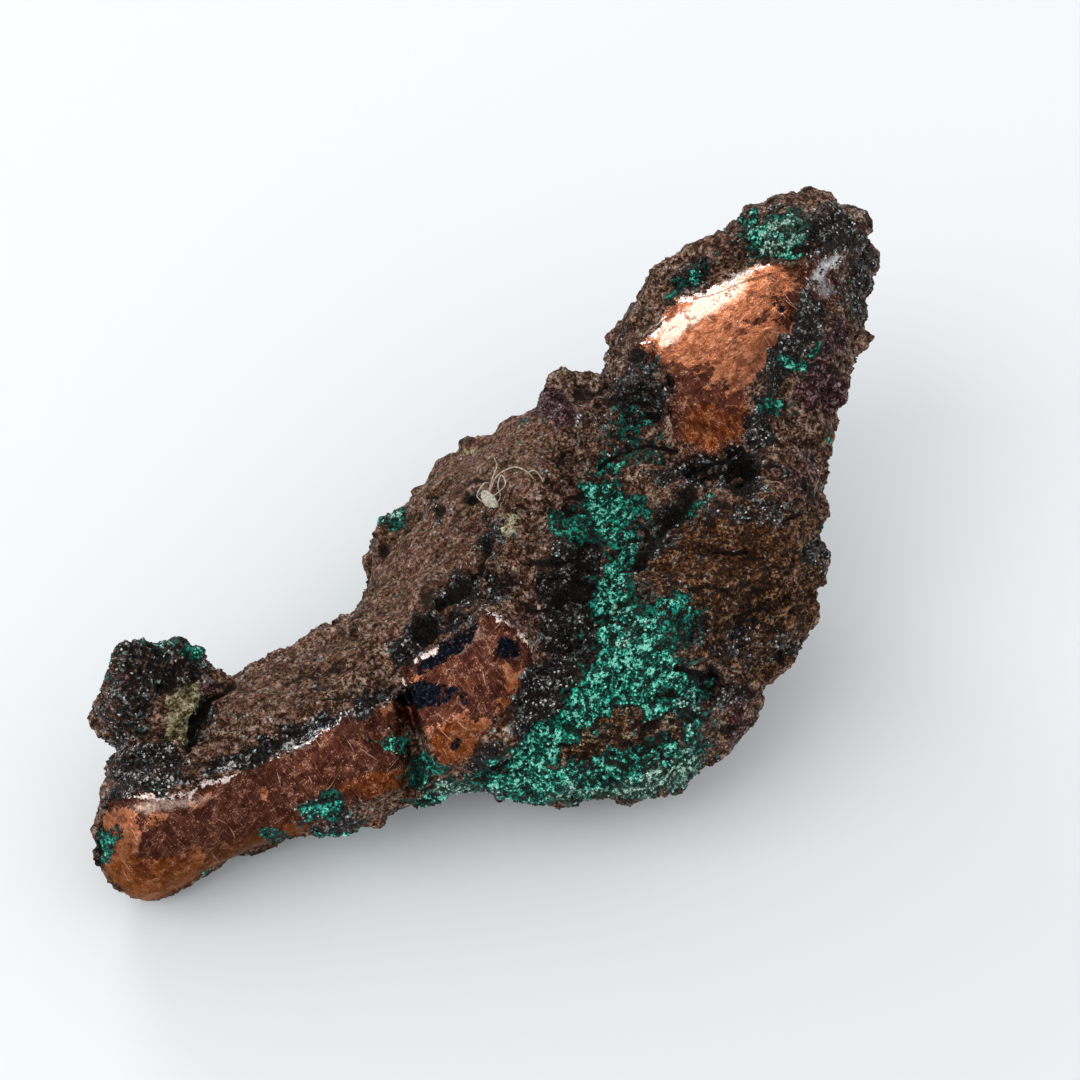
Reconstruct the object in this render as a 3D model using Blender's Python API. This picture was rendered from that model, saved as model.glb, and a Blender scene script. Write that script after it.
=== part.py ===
"""A nugget of native copper in its natural crust: one solid piece, lying on its side.

Run with: blender --background --python part.py

The nugget is drawn as a plan outline, seen from above, and given a crown above
and a keel below its middle height. Knobs are fused to it, clefts are cut in it,
and its crust is broken up into lumps. Where bare metal shows, the crust is worn
away and the surface is smoother.
Sizes are in millimetres until the finished mesh is scaled to metres.
+X runs along the nugget from its foot to its head, +Z is up, and the origin is
the centre of its bounding box on the surface that it rests on.
"""

import math

import bmesh
import bpy
import numpy as np
from mathutils import Matrix, Vector, geometry, noise

MM = 0.001

# Sizes that drive the rest, in millimetres
EDGE_ROUNDING = 9.0  # how far in from the outline the flanks reach their full height
OUTLINE_STEP = 0.9
LATTICE_STEP = 1.3
RIM_RINGS = [0.25, 0.8, 1.7]  # rings of points just inside the outline, where the flanks are steep
FUSING_GRAIN = 0.75  # grain of the remesh that fuses body and knobs
REST_CUT = 0.5  # depth pressed off the lowest points, so that the nugget lies on flats
FLAT_SNAP = 0.15  # points this little above the resting plane are moved down onto it
MOST_TRIANGLES = 9000

# Plan outline, clockwise as seen from above, in named stretches
OUTLINE = {
    "head_end": [(30.9, 4.8), (32.6, 3.2), (33.5, 0.8), (34.6, -1.8), (34.2, -3.6), (31.8, -4.9)],
    "head_front": [(30.0, -6.9), (28.0, -8.4), (25.0, -9.7), (22.2, -10.9), (20.2, -11.4)],
    "belly_right": [(18.9, -13.1), (16.6, -13.5), (15.0, -16.4), (13.1, -18.1), (10.6, -19.3)],
    "belly_front": [(8.2, -21.0), (5.0, -21.7), (2.0, -21.5), (-0.4, -23.2), (-3.5, -23.3)],
    "belly_left": [(-7.0, -23.1), (-10.2, -21.0), (-13.1, -18.4), (-15.2, -16.3), (-17.0, -14.0)],
    "arm_front": [(-19.1, -11.8), (-23.5, -10.4), (-27.5, -9.0), (-30.0, -6.8), (-36.0, -3.1)],
    "foot": [(-38.2, -2.2), (-40.8, -2.3), (-42.4, -1.4), (-43.7, 0.7), (-43.2, 3.1)],
    "foot_back": [(-41.4, 5.0), (-39.2, 6.2), (-37.2, 8.0), (-35.2, 10.0), (-33.2, 11.0)],
    "fin": [(-30.8, 11.2), (-28.4, 10.1), (-27.4, 8.6), (-26.6, 7.0)],
    "arm_back": [(-25.0, 6.4), (-20.0, 6.3), (-16.8, 4.4), (-14.3, 5.3), (-11.7, 7.3)],
    "back": [(-8.7, 9.2), (-5.6, 9.8), (-2.5, 10.2), (0.8, 9.2), (4.0, 8.2), (6.6, 6.9)],
    "neck_back": [(8.8, 7.2), (10.4, 5.6), (12.8, 6.1), (15.5, 7.5), (18.5, 8.0)],
    "head_back": [(22.0, 8.4), (25.0, 6.4), (28.2, 6.9)],
}

# Stations along the nugget: (x, middle height, crown above it, keel below it)
STATIONS = [
    (-44.0, 6.6, 6.4, 7.8),
    (-34.0, 6.9, 6.6, 7.0),
    (-22.0, 7.6, 7.0, 6.2),
    (-10.0, 8.9, 8.4, 8.8),
    (2.0, 10.0, 9.4, 10.0),
    (12.0, 13.0, 9.0, 9.6),
    (22.0, 18.0, 8.2, 8.4),
    (36.0, 23.0, 7.8, 7.8),
]

# Broad forms of the upper side: (x, y, reach along, reach across, turn in degrees, rise)
UPPER_FORMS = {
    "ridge_of_head": (26.5, -0.5, 6.0, 4.0, 0.0, 0.8),
    "crest_of_neck": (5.5, 1.0, 8.0, 3.0, 10.0, 1.2),
    "green_trough": (-2.0, -9.0, 8.5, 3.2, 48.0, -2.3),
    "belly_swell": (-8.0, -17.0, 6.0, 4.0, 30.0, 1.0),
    "foot_knob": (-39.0, -0.5, 4.0, 3.2, 0.0, 1.0),
    "bowl_of_foot": (-35.0, 4.2, 3.0, 2.4, 20.0, -2.0),
    "back_slope": (-4.0, 7.0, 9.0, 3.5, 10.0, -1.2),
    "saddle_of_neck": (7.8, -5.2, 2.4, 4.6, 12.0, -1.8),
    "dip_by_window_knob": (-10.5, -13.5, 2.8, 5.0, -35.0, -1.6),
}

# Broad forms of the underside, the same way; a positive rise hangs lower
UNDER_FORMS = {
    "heel_under_back": (0.0, 3.5, 5.0, 4.0, 0.0, 0.6),
    "heel_under_front": (4.0, -16.0, 5.0, 4.0, 0.0, 0.6),
    "heel_under_left": (-10.0, -17.0, 4.0, 4.0, 0.0, 0.8),
    "heel_of_foot": (-38.2, 1.2, 3.6, 3.2, 0.0, 1.7),
    "arch_under_arm": (-23.0, -1.0, 6.0, 6.0, 0.0, -2.2),
    "hollow_under_neck": (17.0, -3.0, 5.0, 6.0, 0.0, -1.0),
}

# Lumps fused to the body: centre, radii, turn about the vertical in degrees
KNOBS = {
    "fin_of_foot": ((-32.0, 8.8, 10.6), (5.0, 2.5, 4.4), -8.0),
    "fin_tip": ((-31.4, 9.9, 13.4), (3.5, 1.6, 2.4), -12.0),
    "neck_knob": ((6.4, 3.6, 17.8), (1.7, 3.2, 2.6), -20.0),
    "front_bulge": ((6.6, -15.0, 13.4), (9.6, 5.4, 8.4), 14.0),
    "front_ledge": ((-2.6, -18.6, 15.2), (3.6, 2.0, 1.6), 6.0),
    "window_knob": ((-14.8, -9.2, 11.0), (5.8, 4.0, 7.2), 42.0),
    "head_cheek": ((20.5, -8.0, 19.5), (6.4, 3.2, 4.6), 10.0),
    "head_dome": ((17.0, -4.6, 17.0), (9.8, 6.4, 9.4), 16.0),
    "lump_by_head": ((9.0, -1.0, 21.2), (1.7, 1.6, 1.6), 0.0),
    "crest_block": ((-4.8, -6.4, 18.0), (2.0, 1.3, 1.4), 40.0),
    "back_lump": ((-9.6, 6.4, 10.4), (3.2, 2.6, 4.4), 30.0),
    "lump_under_arm": ((-26.2, -6.6, 5.4), (2.8, 1.7, 1.8), 0.0),
    "lump_at_side": ((13.8, -14.0, 12.6), (3.0, 2.4, 3.6), 30.0),
    "under_lump": ((10.0, -6.0, 6.4), (5.0, 4.0, 3.4), 20.0),
    "head_under_lump": ((28.0, -2.0, 17.5), (4.4, 3.4, 3.6), 0.0),
}

# Clefts and pits cut into the body, the same way
CLEFTS = {
    "cleft_behind_arm": ((-31.2, 3.8, 12.6), (4.9, 0.8, 4.6), 27.0),
    "pit_of_neck": ((8.6, -12.4, 21.6), (1.9, 1.4, 1.8), 20.0),
    "pit_by_window": ((-16.8, -4.9, 17.4), (1.7, 1.2, 2.0), 30.0),
    "groove_by_bulge": ((0.6, -12.4, 20.0), (4.6, 0.9, 1.5), 8.0),
    "groove_of_crest": ((-9.6, -4.8, 18.8), (4.8, 0.8, 1.1), 8.0),
    "trench_of_head": ((17.6, 1.8, 25.6), (2.8, 0.9, 1.6), 30.0),
    "pit_of_head": ((10.6, -2.6, 22.0), (0.9, 1.3, 1.4), 0.0),
    "step_under_ledge": ((-2.8, -21.6, 14.0), (3.0, 1.4, 0.9), 6.0),
    "fissure_below": ((-4.0, -8.0, -0.2), (6.0, 0.9, 2.0), 35.0),
    "pit_below": ((12.0, -12.0, 5.2), (2.2, 1.6, 2.0), 0.0),
    "fissure_at_back": ((-1.0, 9.8, 9.0), (3.6, 1.2, 0.8), 0.0),
}

# Where the crust is worn to bare metal: centre and radii of the smoother stretch
WORN = {
    "head_window": ((16.5, -5.5, 26.0), (9.0, 6.0, 6.0)),
    "foot_window": ((-39.0, -1.5, 8.5), (6.0, 5.0, 5.5)),
    "arm_window": ((-28.0, -5.5, 10.5), (9.5, 4.5, 5.0)),
    "knob_window": ((-15.5, -10.0, 15.5), (5.5, 4.5, 5.0)),
}

# Lumps of the crust: noise of (size, height, seed offset), and cells with a crease around each
CRUST_LUMPS = [(7.0, 0.7, 3.0), (3.2, 0.45, 11.0)]
CRUST_CELLS = [(5.2, 0.8, 5.0), (3.0, 0.35, 17.0)]
CREASE_SHARE = 0.45  # how far into a cell its crease reaches
WORN_LEFT = 0.2  # share of the lumps' height that is left where the crust is worn

CRUST_COLOUR = (0.125, 0.06, 0.04, 1.0)
CRUST_METALLIC = 0.3
CRUST_ROUGHNESS = 0.75


def remove_all_objects():
    for thing in list(bpy.data.objects):
        bpy.data.objects.remove(thing, do_unlink=True)


def smooth_closed_curve(points, step):
    """Return points spaced about a step apart on the Catmull-Rom curve through these points."""
    curve = []
    count = len(points)
    for index in range(count):
        before, start, end, after = (np.array(points[(index + k - 1) % count]) for k in range(4))
        pieces = max(1, round(float(np.linalg.norm(end - start)) / step))
        for piece in range(pieces):
            t = piece / pieces
            curve.append(0.5 * (2 * start + (end - before) * t
                                + (2 * before - 5 * start + 4 * end - after) * t ** 2
                                + (3 * start - before - 3 * end + after) * t ** 3))
    return np.array(curve)


def distance_to_curve(points, curve):
    """Return each point's distance to the closed curve."""
    starts = curve[None, :, :]
    spans = np.roll(curve, -1, axis=0)[None, :, :] - starts
    offsets = points[:, None, :] - starts
    along = np.clip((offsets * spans).sum(axis=2) / (spans ** 2).sum(axis=2), 0.0, 1.0)
    return np.linalg.norm(offsets - along[:, :, None] * spans, axis=2).min(axis=1)


def is_inside(points, curve):
    """Return which points lie inside the closed curve, by counting its crossings to the right."""
    x, y = points[:, 0:1], points[:, 1:2]
    x0, y0 = curve[:, 0], curve[:, 1]
    x1, y1 = np.roll(x0, -1), np.roll(y0, -1)
    spans_y = (y0 > y) != (y1 > y)
    rise = np.where(y1 == y0, 1.0, y1 - y0)
    crossing_x = x0 + (y - y0) * (x1 - x0) / rise
    return ((spans_y & (x < crossing_x)).sum(axis=1) % 2) == 1


def plan_points(curve):
    """Return points inside the outline: rings close to it, then an even lattice."""
    to_next = np.roll(curve, -1, axis=0) - np.roll(curve, 1, axis=0)
    inward = np.column_stack([to_next[:, 1], -to_next[:, 0]])
    inward /= np.linalg.norm(inward, axis=1)[:, None]
    kept = []
    for ring in RIM_RINGS:
        points = curve + inward * ring
        fits = is_inside(points, curve) & (distance_to_curve(points, curve) > 0.95 * ring)
        kept.append(points[fits])
    low, high = curve.min(axis=0), curve.max(axis=0)
    row_step = LATTICE_STEP * math.sqrt(3) / 2
    rows = np.arange(low[1], high[1], row_step)
    lattice = [(x + (LATTICE_STEP / 2) * (number % 2), y)
               for number, y in enumerate(rows) for x in np.arange(low[0], high[0], LATTICE_STEP)]
    lattice = np.array(lattice)
    clear = distance_to_curve(lattice, curve) > RIM_RINGS[-1] + 0.6 * LATTICE_STEP
    kept.append(lattice[is_inside(lattice, curve) & clear])
    return np.concatenate(kept)


def sum_of_forms(points, forms):
    """Return the rise that the named broad forms add at each point."""
    rise = np.zeros(len(points))
    for x, y, along, across, turn, height in forms.values():
        angle = math.radians(turn)
        dx, dy = points[:, 0] - x, points[:, 1] - y
        u = (dx * math.cos(angle) + dy * math.sin(angle)) / along
        v = (-dx * math.sin(angle) + dy * math.cos(angle)) / across
        rise += height * np.exp(-(u ** 2 + v ** 2))
    return rise


def body_mesh():
    """Return the body: crown and keel over the plan, joined at the outline."""
    points = [point for stretch in OUTLINE.values() for point in stretch]
    curve = smooth_closed_curve(points, OUTLINE_STEP)
    inner = plan_points(curve)
    flat = [Vector(point) for point in np.concatenate([curve, inner])]
    border = list(range(len(curve)))
    triangulated = geometry.delaunay_2d_cdt(flat, [], [border], 1, 1e-6)
    plan, triangles = np.array([tuple(v) for v in triangulated[0]]), triangulated[2]
    inset = np.minimum(distance_to_curve(plan, curve) / EDGE_ROUNDING, 1.0)
    flank = np.sqrt(1.0 - (1.0 - inset) ** 2)
    station_x, middle, crown, keel = (np.array(column) for column in zip(*STATIONS))
    middle = np.interp(plan[:, 0], station_x, middle)
    crown = np.interp(plan[:, 0], station_x, crown) + sum_of_forms(plan, UPPER_FORMS)
    keel = np.interp(plan[:, 0], station_x, keel) + sum_of_forms(plan, UNDER_FORMS)
    body = bmesh.new()
    on_rim = flank < 1e-4
    tops, bottoms = [], []
    for (x, y), share, height, up, down, rim in zip(plan, flank, middle, crown, keel, on_rim):
        top = body.verts.new((x, y, height + up * share))
        tops.append(top)
        bottoms.append(top if rim else body.verts.new((x, y, height - down * share)))
    for a, b, c in triangles:
        body.faces.new((tops[a], tops[b], tops[c]))
        body.faces.new((bottoms[c], bottoms[b], bottoms[a]))
    return body


def add_ellipsoid(body, centre, radii, turn):
    """Add a closed ellipsoid to the mesh, turned about the vertical."""
    place = (Matrix.Translation(centre) @ Matrix.Rotation(math.radians(turn), 4, "Z")
             @ Matrix.Diagonal((*radii, 1.0)))
    bmesh.ops.create_icosphere(body, subdivisions=3, radius=1.0, matrix=place)


def new_object(name, body):
    """Turn the mesh into an object and return it."""
    mesh = bpy.data.meshes.new(name)
    body.to_mesh(mesh)
    body.free()
    thing = bpy.data.objects.new(name, mesh)
    bpy.context.scene.collection.objects.link(thing)
    return thing


def apply_modifiers(thing):
    """Replace the object's mesh with its evaluated one."""
    evaluated = thing.evaluated_get(bpy.context.evaluated_depsgraph_get())
    mesh = bpy.data.meshes.new_from_object(evaluated)
    thing.modifiers.clear()
    thing.data = mesh


def fuse(thing):
    """Remesh the object into one even skin, which fuses whatever overlaps."""
    remesh = thing.modifiers.new("fuse", "REMESH")
    remesh.mode = "VOXEL"
    remesh.voxel_size = FUSING_GRAIN
    apply_modifiers(thing)


def cut_clefts(thing):
    cutters = bmesh.new()
    for centre, radii, turn in CLEFTS.values():
        add_ellipsoid(cutters, centre, radii, turn)
    cutter = new_object("cleft_cutter", cutters)
    cut = thing.modifiers.new("clefts", "BOOLEAN")
    cut.operation = "DIFFERENCE"
    cut.object = cutter
    apply_modifiers(thing)
    bpy.data.objects.remove(cutter, do_unlink=True)


def share_of_crust(point):
    """Return 1 on full crust, down to WORN_LEFT in the middle of a worn stretch."""
    left = 1.0
    for centre, radii in WORN.values():
        reach = math.sqrt(sum(((p - c) / r) ** 2 for p, c, r in zip(point, centre, radii)))
        blend = min(max((reach - 0.7) / 0.4, 0.0), 1.0)
        left = min(left, WORN_LEFT + (1.0 - WORN_LEFT) * blend)
    return left


def crust_push(point):
    """Return how far the crust stands out at a point: soft noise and creased cells."""
    push = 0.0
    for size, height, offset in CRUST_LUMPS:
        push += height * noise.noise(point / size + Vector((offset, offset, offset)))
    for size, height, offset in CRUST_CELLS:
        nearest = noise.voronoi(point / size + Vector((offset, offset, offset)))[0]
        to_crease = min((nearest[1] - nearest[0]) / CREASE_SHARE, 1.0)
        push += height * (math.sqrt(to_crease) - 0.7)
    return push


def break_up_crust(thing):
    """Push the skin in and out along its normals."""
    for vertex, normal in [(v, v.normal.copy()) for v in thing.data.vertices]:
        vertex.co += normal * crust_push(vertex.co) * share_of_crust(vertex.co)


def thin_out(thing):
    """Bring the triangle count down to what the nugget may have."""
    triangles = sum(len(face.vertices) - 2 for face in thing.data.polygons)
    thing.modifiers.new("triangulate", "TRIANGULATE")
    decimate = thing.modifiers.new("thin_out", "DECIMATE")
    decimate.ratio = MOST_TRIANGLES / triangles
    apply_modifiers(thing)


def flatten_rests(thing):
    """Press the lowest points flat, so that the nugget stands on flats, and set its origin."""
    body = bmesh.new()
    body.from_mesh(thing.data)
    plane = min(v.co.z for v in body.verts) + REST_CUT
    for vertex in body.verts:
        if vertex.co.z < plane + FLAT_SNAP:
            vertex.co.z = plane
    bmesh.ops.dissolve_degenerate(body, dist=0.01, edges=body.edges)
    bmesh.ops.triangulate(body, faces=body.faces)
    lows = Vector(min(v.co[axis] for v in body.verts) for axis in range(3))
    highs = Vector(max(v.co[axis] for v in body.verts) for axis in range(3))
    shift = Vector((-(lows.x + highs.x) / 2, -(lows.y + highs.y) / 2, -plane))
    bmesh.ops.translate(body, vec=shift, verts=body.verts)
    bmesh.ops.scale(body, vec=(MM, MM, MM), verts=body.verts)
    body.to_mesh(thing.data)
    body.free()


def crust_material():
    material = bpy.data.materials.new("copper_crust")
    material.use_nodes = True
    shader = material.node_tree.nodes["Principled BSDF"]
    shader.inputs["Base Color"].default_value = CRUST_COLOUR
    shader.inputs["Metallic"].default_value = CRUST_METALLIC
    shader.inputs["Roughness"].default_value = CRUST_ROUGHNESS
    return material


def make_nugget():
    body = body_mesh()
    for centre, radii, turn in KNOBS.values():
        add_ellipsoid(body, centre, radii, turn)
    nugget = new_object("copper_nugget", body)
    fuse(nugget)
    cut_clefts(nugget)
    fuse(nugget)
    break_up_crust(nugget)
    thin_out(nugget)
    flatten_rests(nugget)
    nugget.data.shade_smooth()
    nugget.data.materials.clear()
    nugget.data.materials.append(crust_material())
    return nugget


remove_all_objects()
make_nugget()
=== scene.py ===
import math

import bmesh
import bpy
import numpy as np
from mathutils import Matrix, Vector, noise
from mathutils.bvhtree import BVHTree


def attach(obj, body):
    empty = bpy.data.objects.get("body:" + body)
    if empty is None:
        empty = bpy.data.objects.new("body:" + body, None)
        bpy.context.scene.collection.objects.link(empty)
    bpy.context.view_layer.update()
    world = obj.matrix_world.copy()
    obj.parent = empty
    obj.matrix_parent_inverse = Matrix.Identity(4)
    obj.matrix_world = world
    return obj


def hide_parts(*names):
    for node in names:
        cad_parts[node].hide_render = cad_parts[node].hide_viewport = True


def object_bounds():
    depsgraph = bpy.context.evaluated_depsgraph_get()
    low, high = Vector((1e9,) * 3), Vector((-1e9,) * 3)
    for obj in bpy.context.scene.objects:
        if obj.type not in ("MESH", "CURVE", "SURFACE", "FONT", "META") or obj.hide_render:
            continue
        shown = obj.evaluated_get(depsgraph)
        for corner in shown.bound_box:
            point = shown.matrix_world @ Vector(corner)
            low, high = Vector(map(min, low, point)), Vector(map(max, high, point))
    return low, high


# A nugget of native copper in its crust. Lengths are in millimetres until a mesh is
# written, and places on the front are in the pixels of a 1080 by 1080 view.

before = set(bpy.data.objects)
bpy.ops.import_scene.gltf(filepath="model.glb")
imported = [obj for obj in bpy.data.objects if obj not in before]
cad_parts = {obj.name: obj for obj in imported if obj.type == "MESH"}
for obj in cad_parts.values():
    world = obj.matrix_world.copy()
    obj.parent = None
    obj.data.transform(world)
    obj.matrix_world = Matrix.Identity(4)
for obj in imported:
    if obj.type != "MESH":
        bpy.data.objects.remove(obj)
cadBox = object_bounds()
mm = 0.001
chance = np.random.default_rng(29)

# camera

cameraSetup = {
    "azimuth": -44.0,  # degrees, 0 looks along +Y
    "elevation": 50.0,
    "lens": 85.0,
    "sensor": 36.0,
    "distance": 203.0,
    "aim": (4.0, 5.45, 10.4),
    "view": 1080,
}


def cameraAxes():
    turn, lift = math.radians(cameraSetup["azimuth"]), math.radians(cameraSetup["elevation"])
    right = np.array([math.cos(turn), math.sin(turn), 0.0])
    back = np.array([math.sin(turn) * math.cos(lift), -math.cos(turn) * math.cos(lift), math.sin(lift)])
    return right, np.cross(back, right), back


toRight, toTop, toCamera = cameraAxes()
cameraSpot = np.array(cameraSetup["aim"]) + cameraSetup["distance"] * toCamera
focal = cameraSetup["lens"] / cameraSetup["sensor"] * cameraSetup["view"]
pixelsPerMm = focal / cameraSetup["distance"]


def toView(points):
    offsets = points - cameraSpot
    depth = -(offsets @ toCamera)
    middle = cameraSetup["view"] / 2
    return np.column_stack([middle + focal * (offsets @ toRight) / depth,
                            middle - focal * (offsets @ toTop) / depth])


def makeCamera():
    data = bpy.data.cameras.new("camera")
    data.lens, data.sensor_width = cameraSetup["lens"], cameraSetup["sensor"]
    data.clip_start, data.clip_end = 0.01, 10.0
    camera = bpy.data.objects.new("camera", data)
    bpy.context.scene.collection.objects.link(camera)
    turned = Matrix([toRight, toTop, toCamera]).transposed().to_4x4()
    camera.matrix_world = Matrix.Translation(Vector(cameraSpot * mm)) @ turned
    bpy.context.scene.camera = camera


makeCamera()
print("camera done")

# where each finish lies on the front, in pixels of the view: first the patches of bare metal, once round each
bareOutlines = {
    "head": [
        (634, 349), (661, 322), (663, 312), (677, 300), (700, 291), (724, 281), (744, 268), (757, 264),
        (793, 264), (805, 262), (807, 276), (809, 293), (818, 295), (812, 304), (812, 318), (799, 324),
        (791, 337), (772, 348), (766, 364), (759, 377), (747, 387), (747, 400), (751, 423), (742, 440),
        (713, 457), (692, 452), (671, 436), (673, 423), (663, 396), (677, 396), (669, 371), (661, 366),
        (648, 364), (644, 358)],
    "knob": [
        (484, 612), (506, 618), (519, 631), (535, 641), (532, 663), (522, 685), (513, 701), (503, 714),
        (484, 733), (475, 749), (465, 765), (440, 768), (430, 746), (414, 727), (392, 716), (388, 700),
        (398, 684), (411, 657), (424, 652), (450, 640), (470, 626)],
    "headGlint": [
        (802, 264), (812, 262), (822, 252), (836, 243), (848, 243), (846, 253), (834, 266), (836, 284),
        (838, 298), (824, 305), (812, 300), (806, 284)],
    "arm": [
        (90, 808), (101, 799), (119, 799), (123, 795), (155, 793), (191, 793), (198, 784), (205, 781),
        (235, 775), (259, 763), (276, 750), (301, 741), (321, 727), (348, 707), (357, 711), (395, 698),
        (404, 722), (414, 760), (408, 787), (366, 803), (331, 806), (302, 835), (264, 848), (239, 861),
        (206, 873), (190, 893), (157, 906), (127, 898), (103, 872), (88, 834)],
}

# patches of the crust, once round each: how soft the border is in mm, how strong it gets, the outlines
crustOutlines = {
    "green": (-1.0, 1.3, 0.92, {
        "belly": [
            (598, 560), (612, 540), (632, 548), (636, 568), (642, 585), (655, 600), (668, 625), (668, 650),
            (690, 664), (705, 680), (712, 700), (708, 735), (700, 765), (683, 785), (650, 798), (600, 803),
            (560, 801), (520, 799), (480, 795), (440, 800), (450, 785), (475, 775), (500, 752), (520, 735),
            (545, 718), (563, 700), (577, 680), (587, 650), (590, 620), (590, 590)]}),
    "rust": (-0.8, 0.6, 1.0, {
        "bulge": [
            (642, 571), (656, 550), (680, 534), (696, 517), (730, 508), (770, 500), (812, 508), (824, 540),
            (820, 590), (806, 630), (790, 655), (765, 672), (735, 680), (715, 664), (690, 655), (700, 630),
            (690, 600), (660, 590)],
        "bellyRust": [
            (555, 745), (580, 725), (610, 712), (640, 706), (680, 712), (684, 730), (655, 742), (620, 748),
            (590, 762), (562, 762)]}),
}
# where the green gives way to rust and plum
greenGaps = {
    "bellyRust": [
        (555, 750), (580, 728), (600, 722), (615, 700), (640, 700), (645, 722), (684, 716), (684, 738),
        (655, 748), (620, 752), (590, 764), (562, 764)],
}

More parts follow.
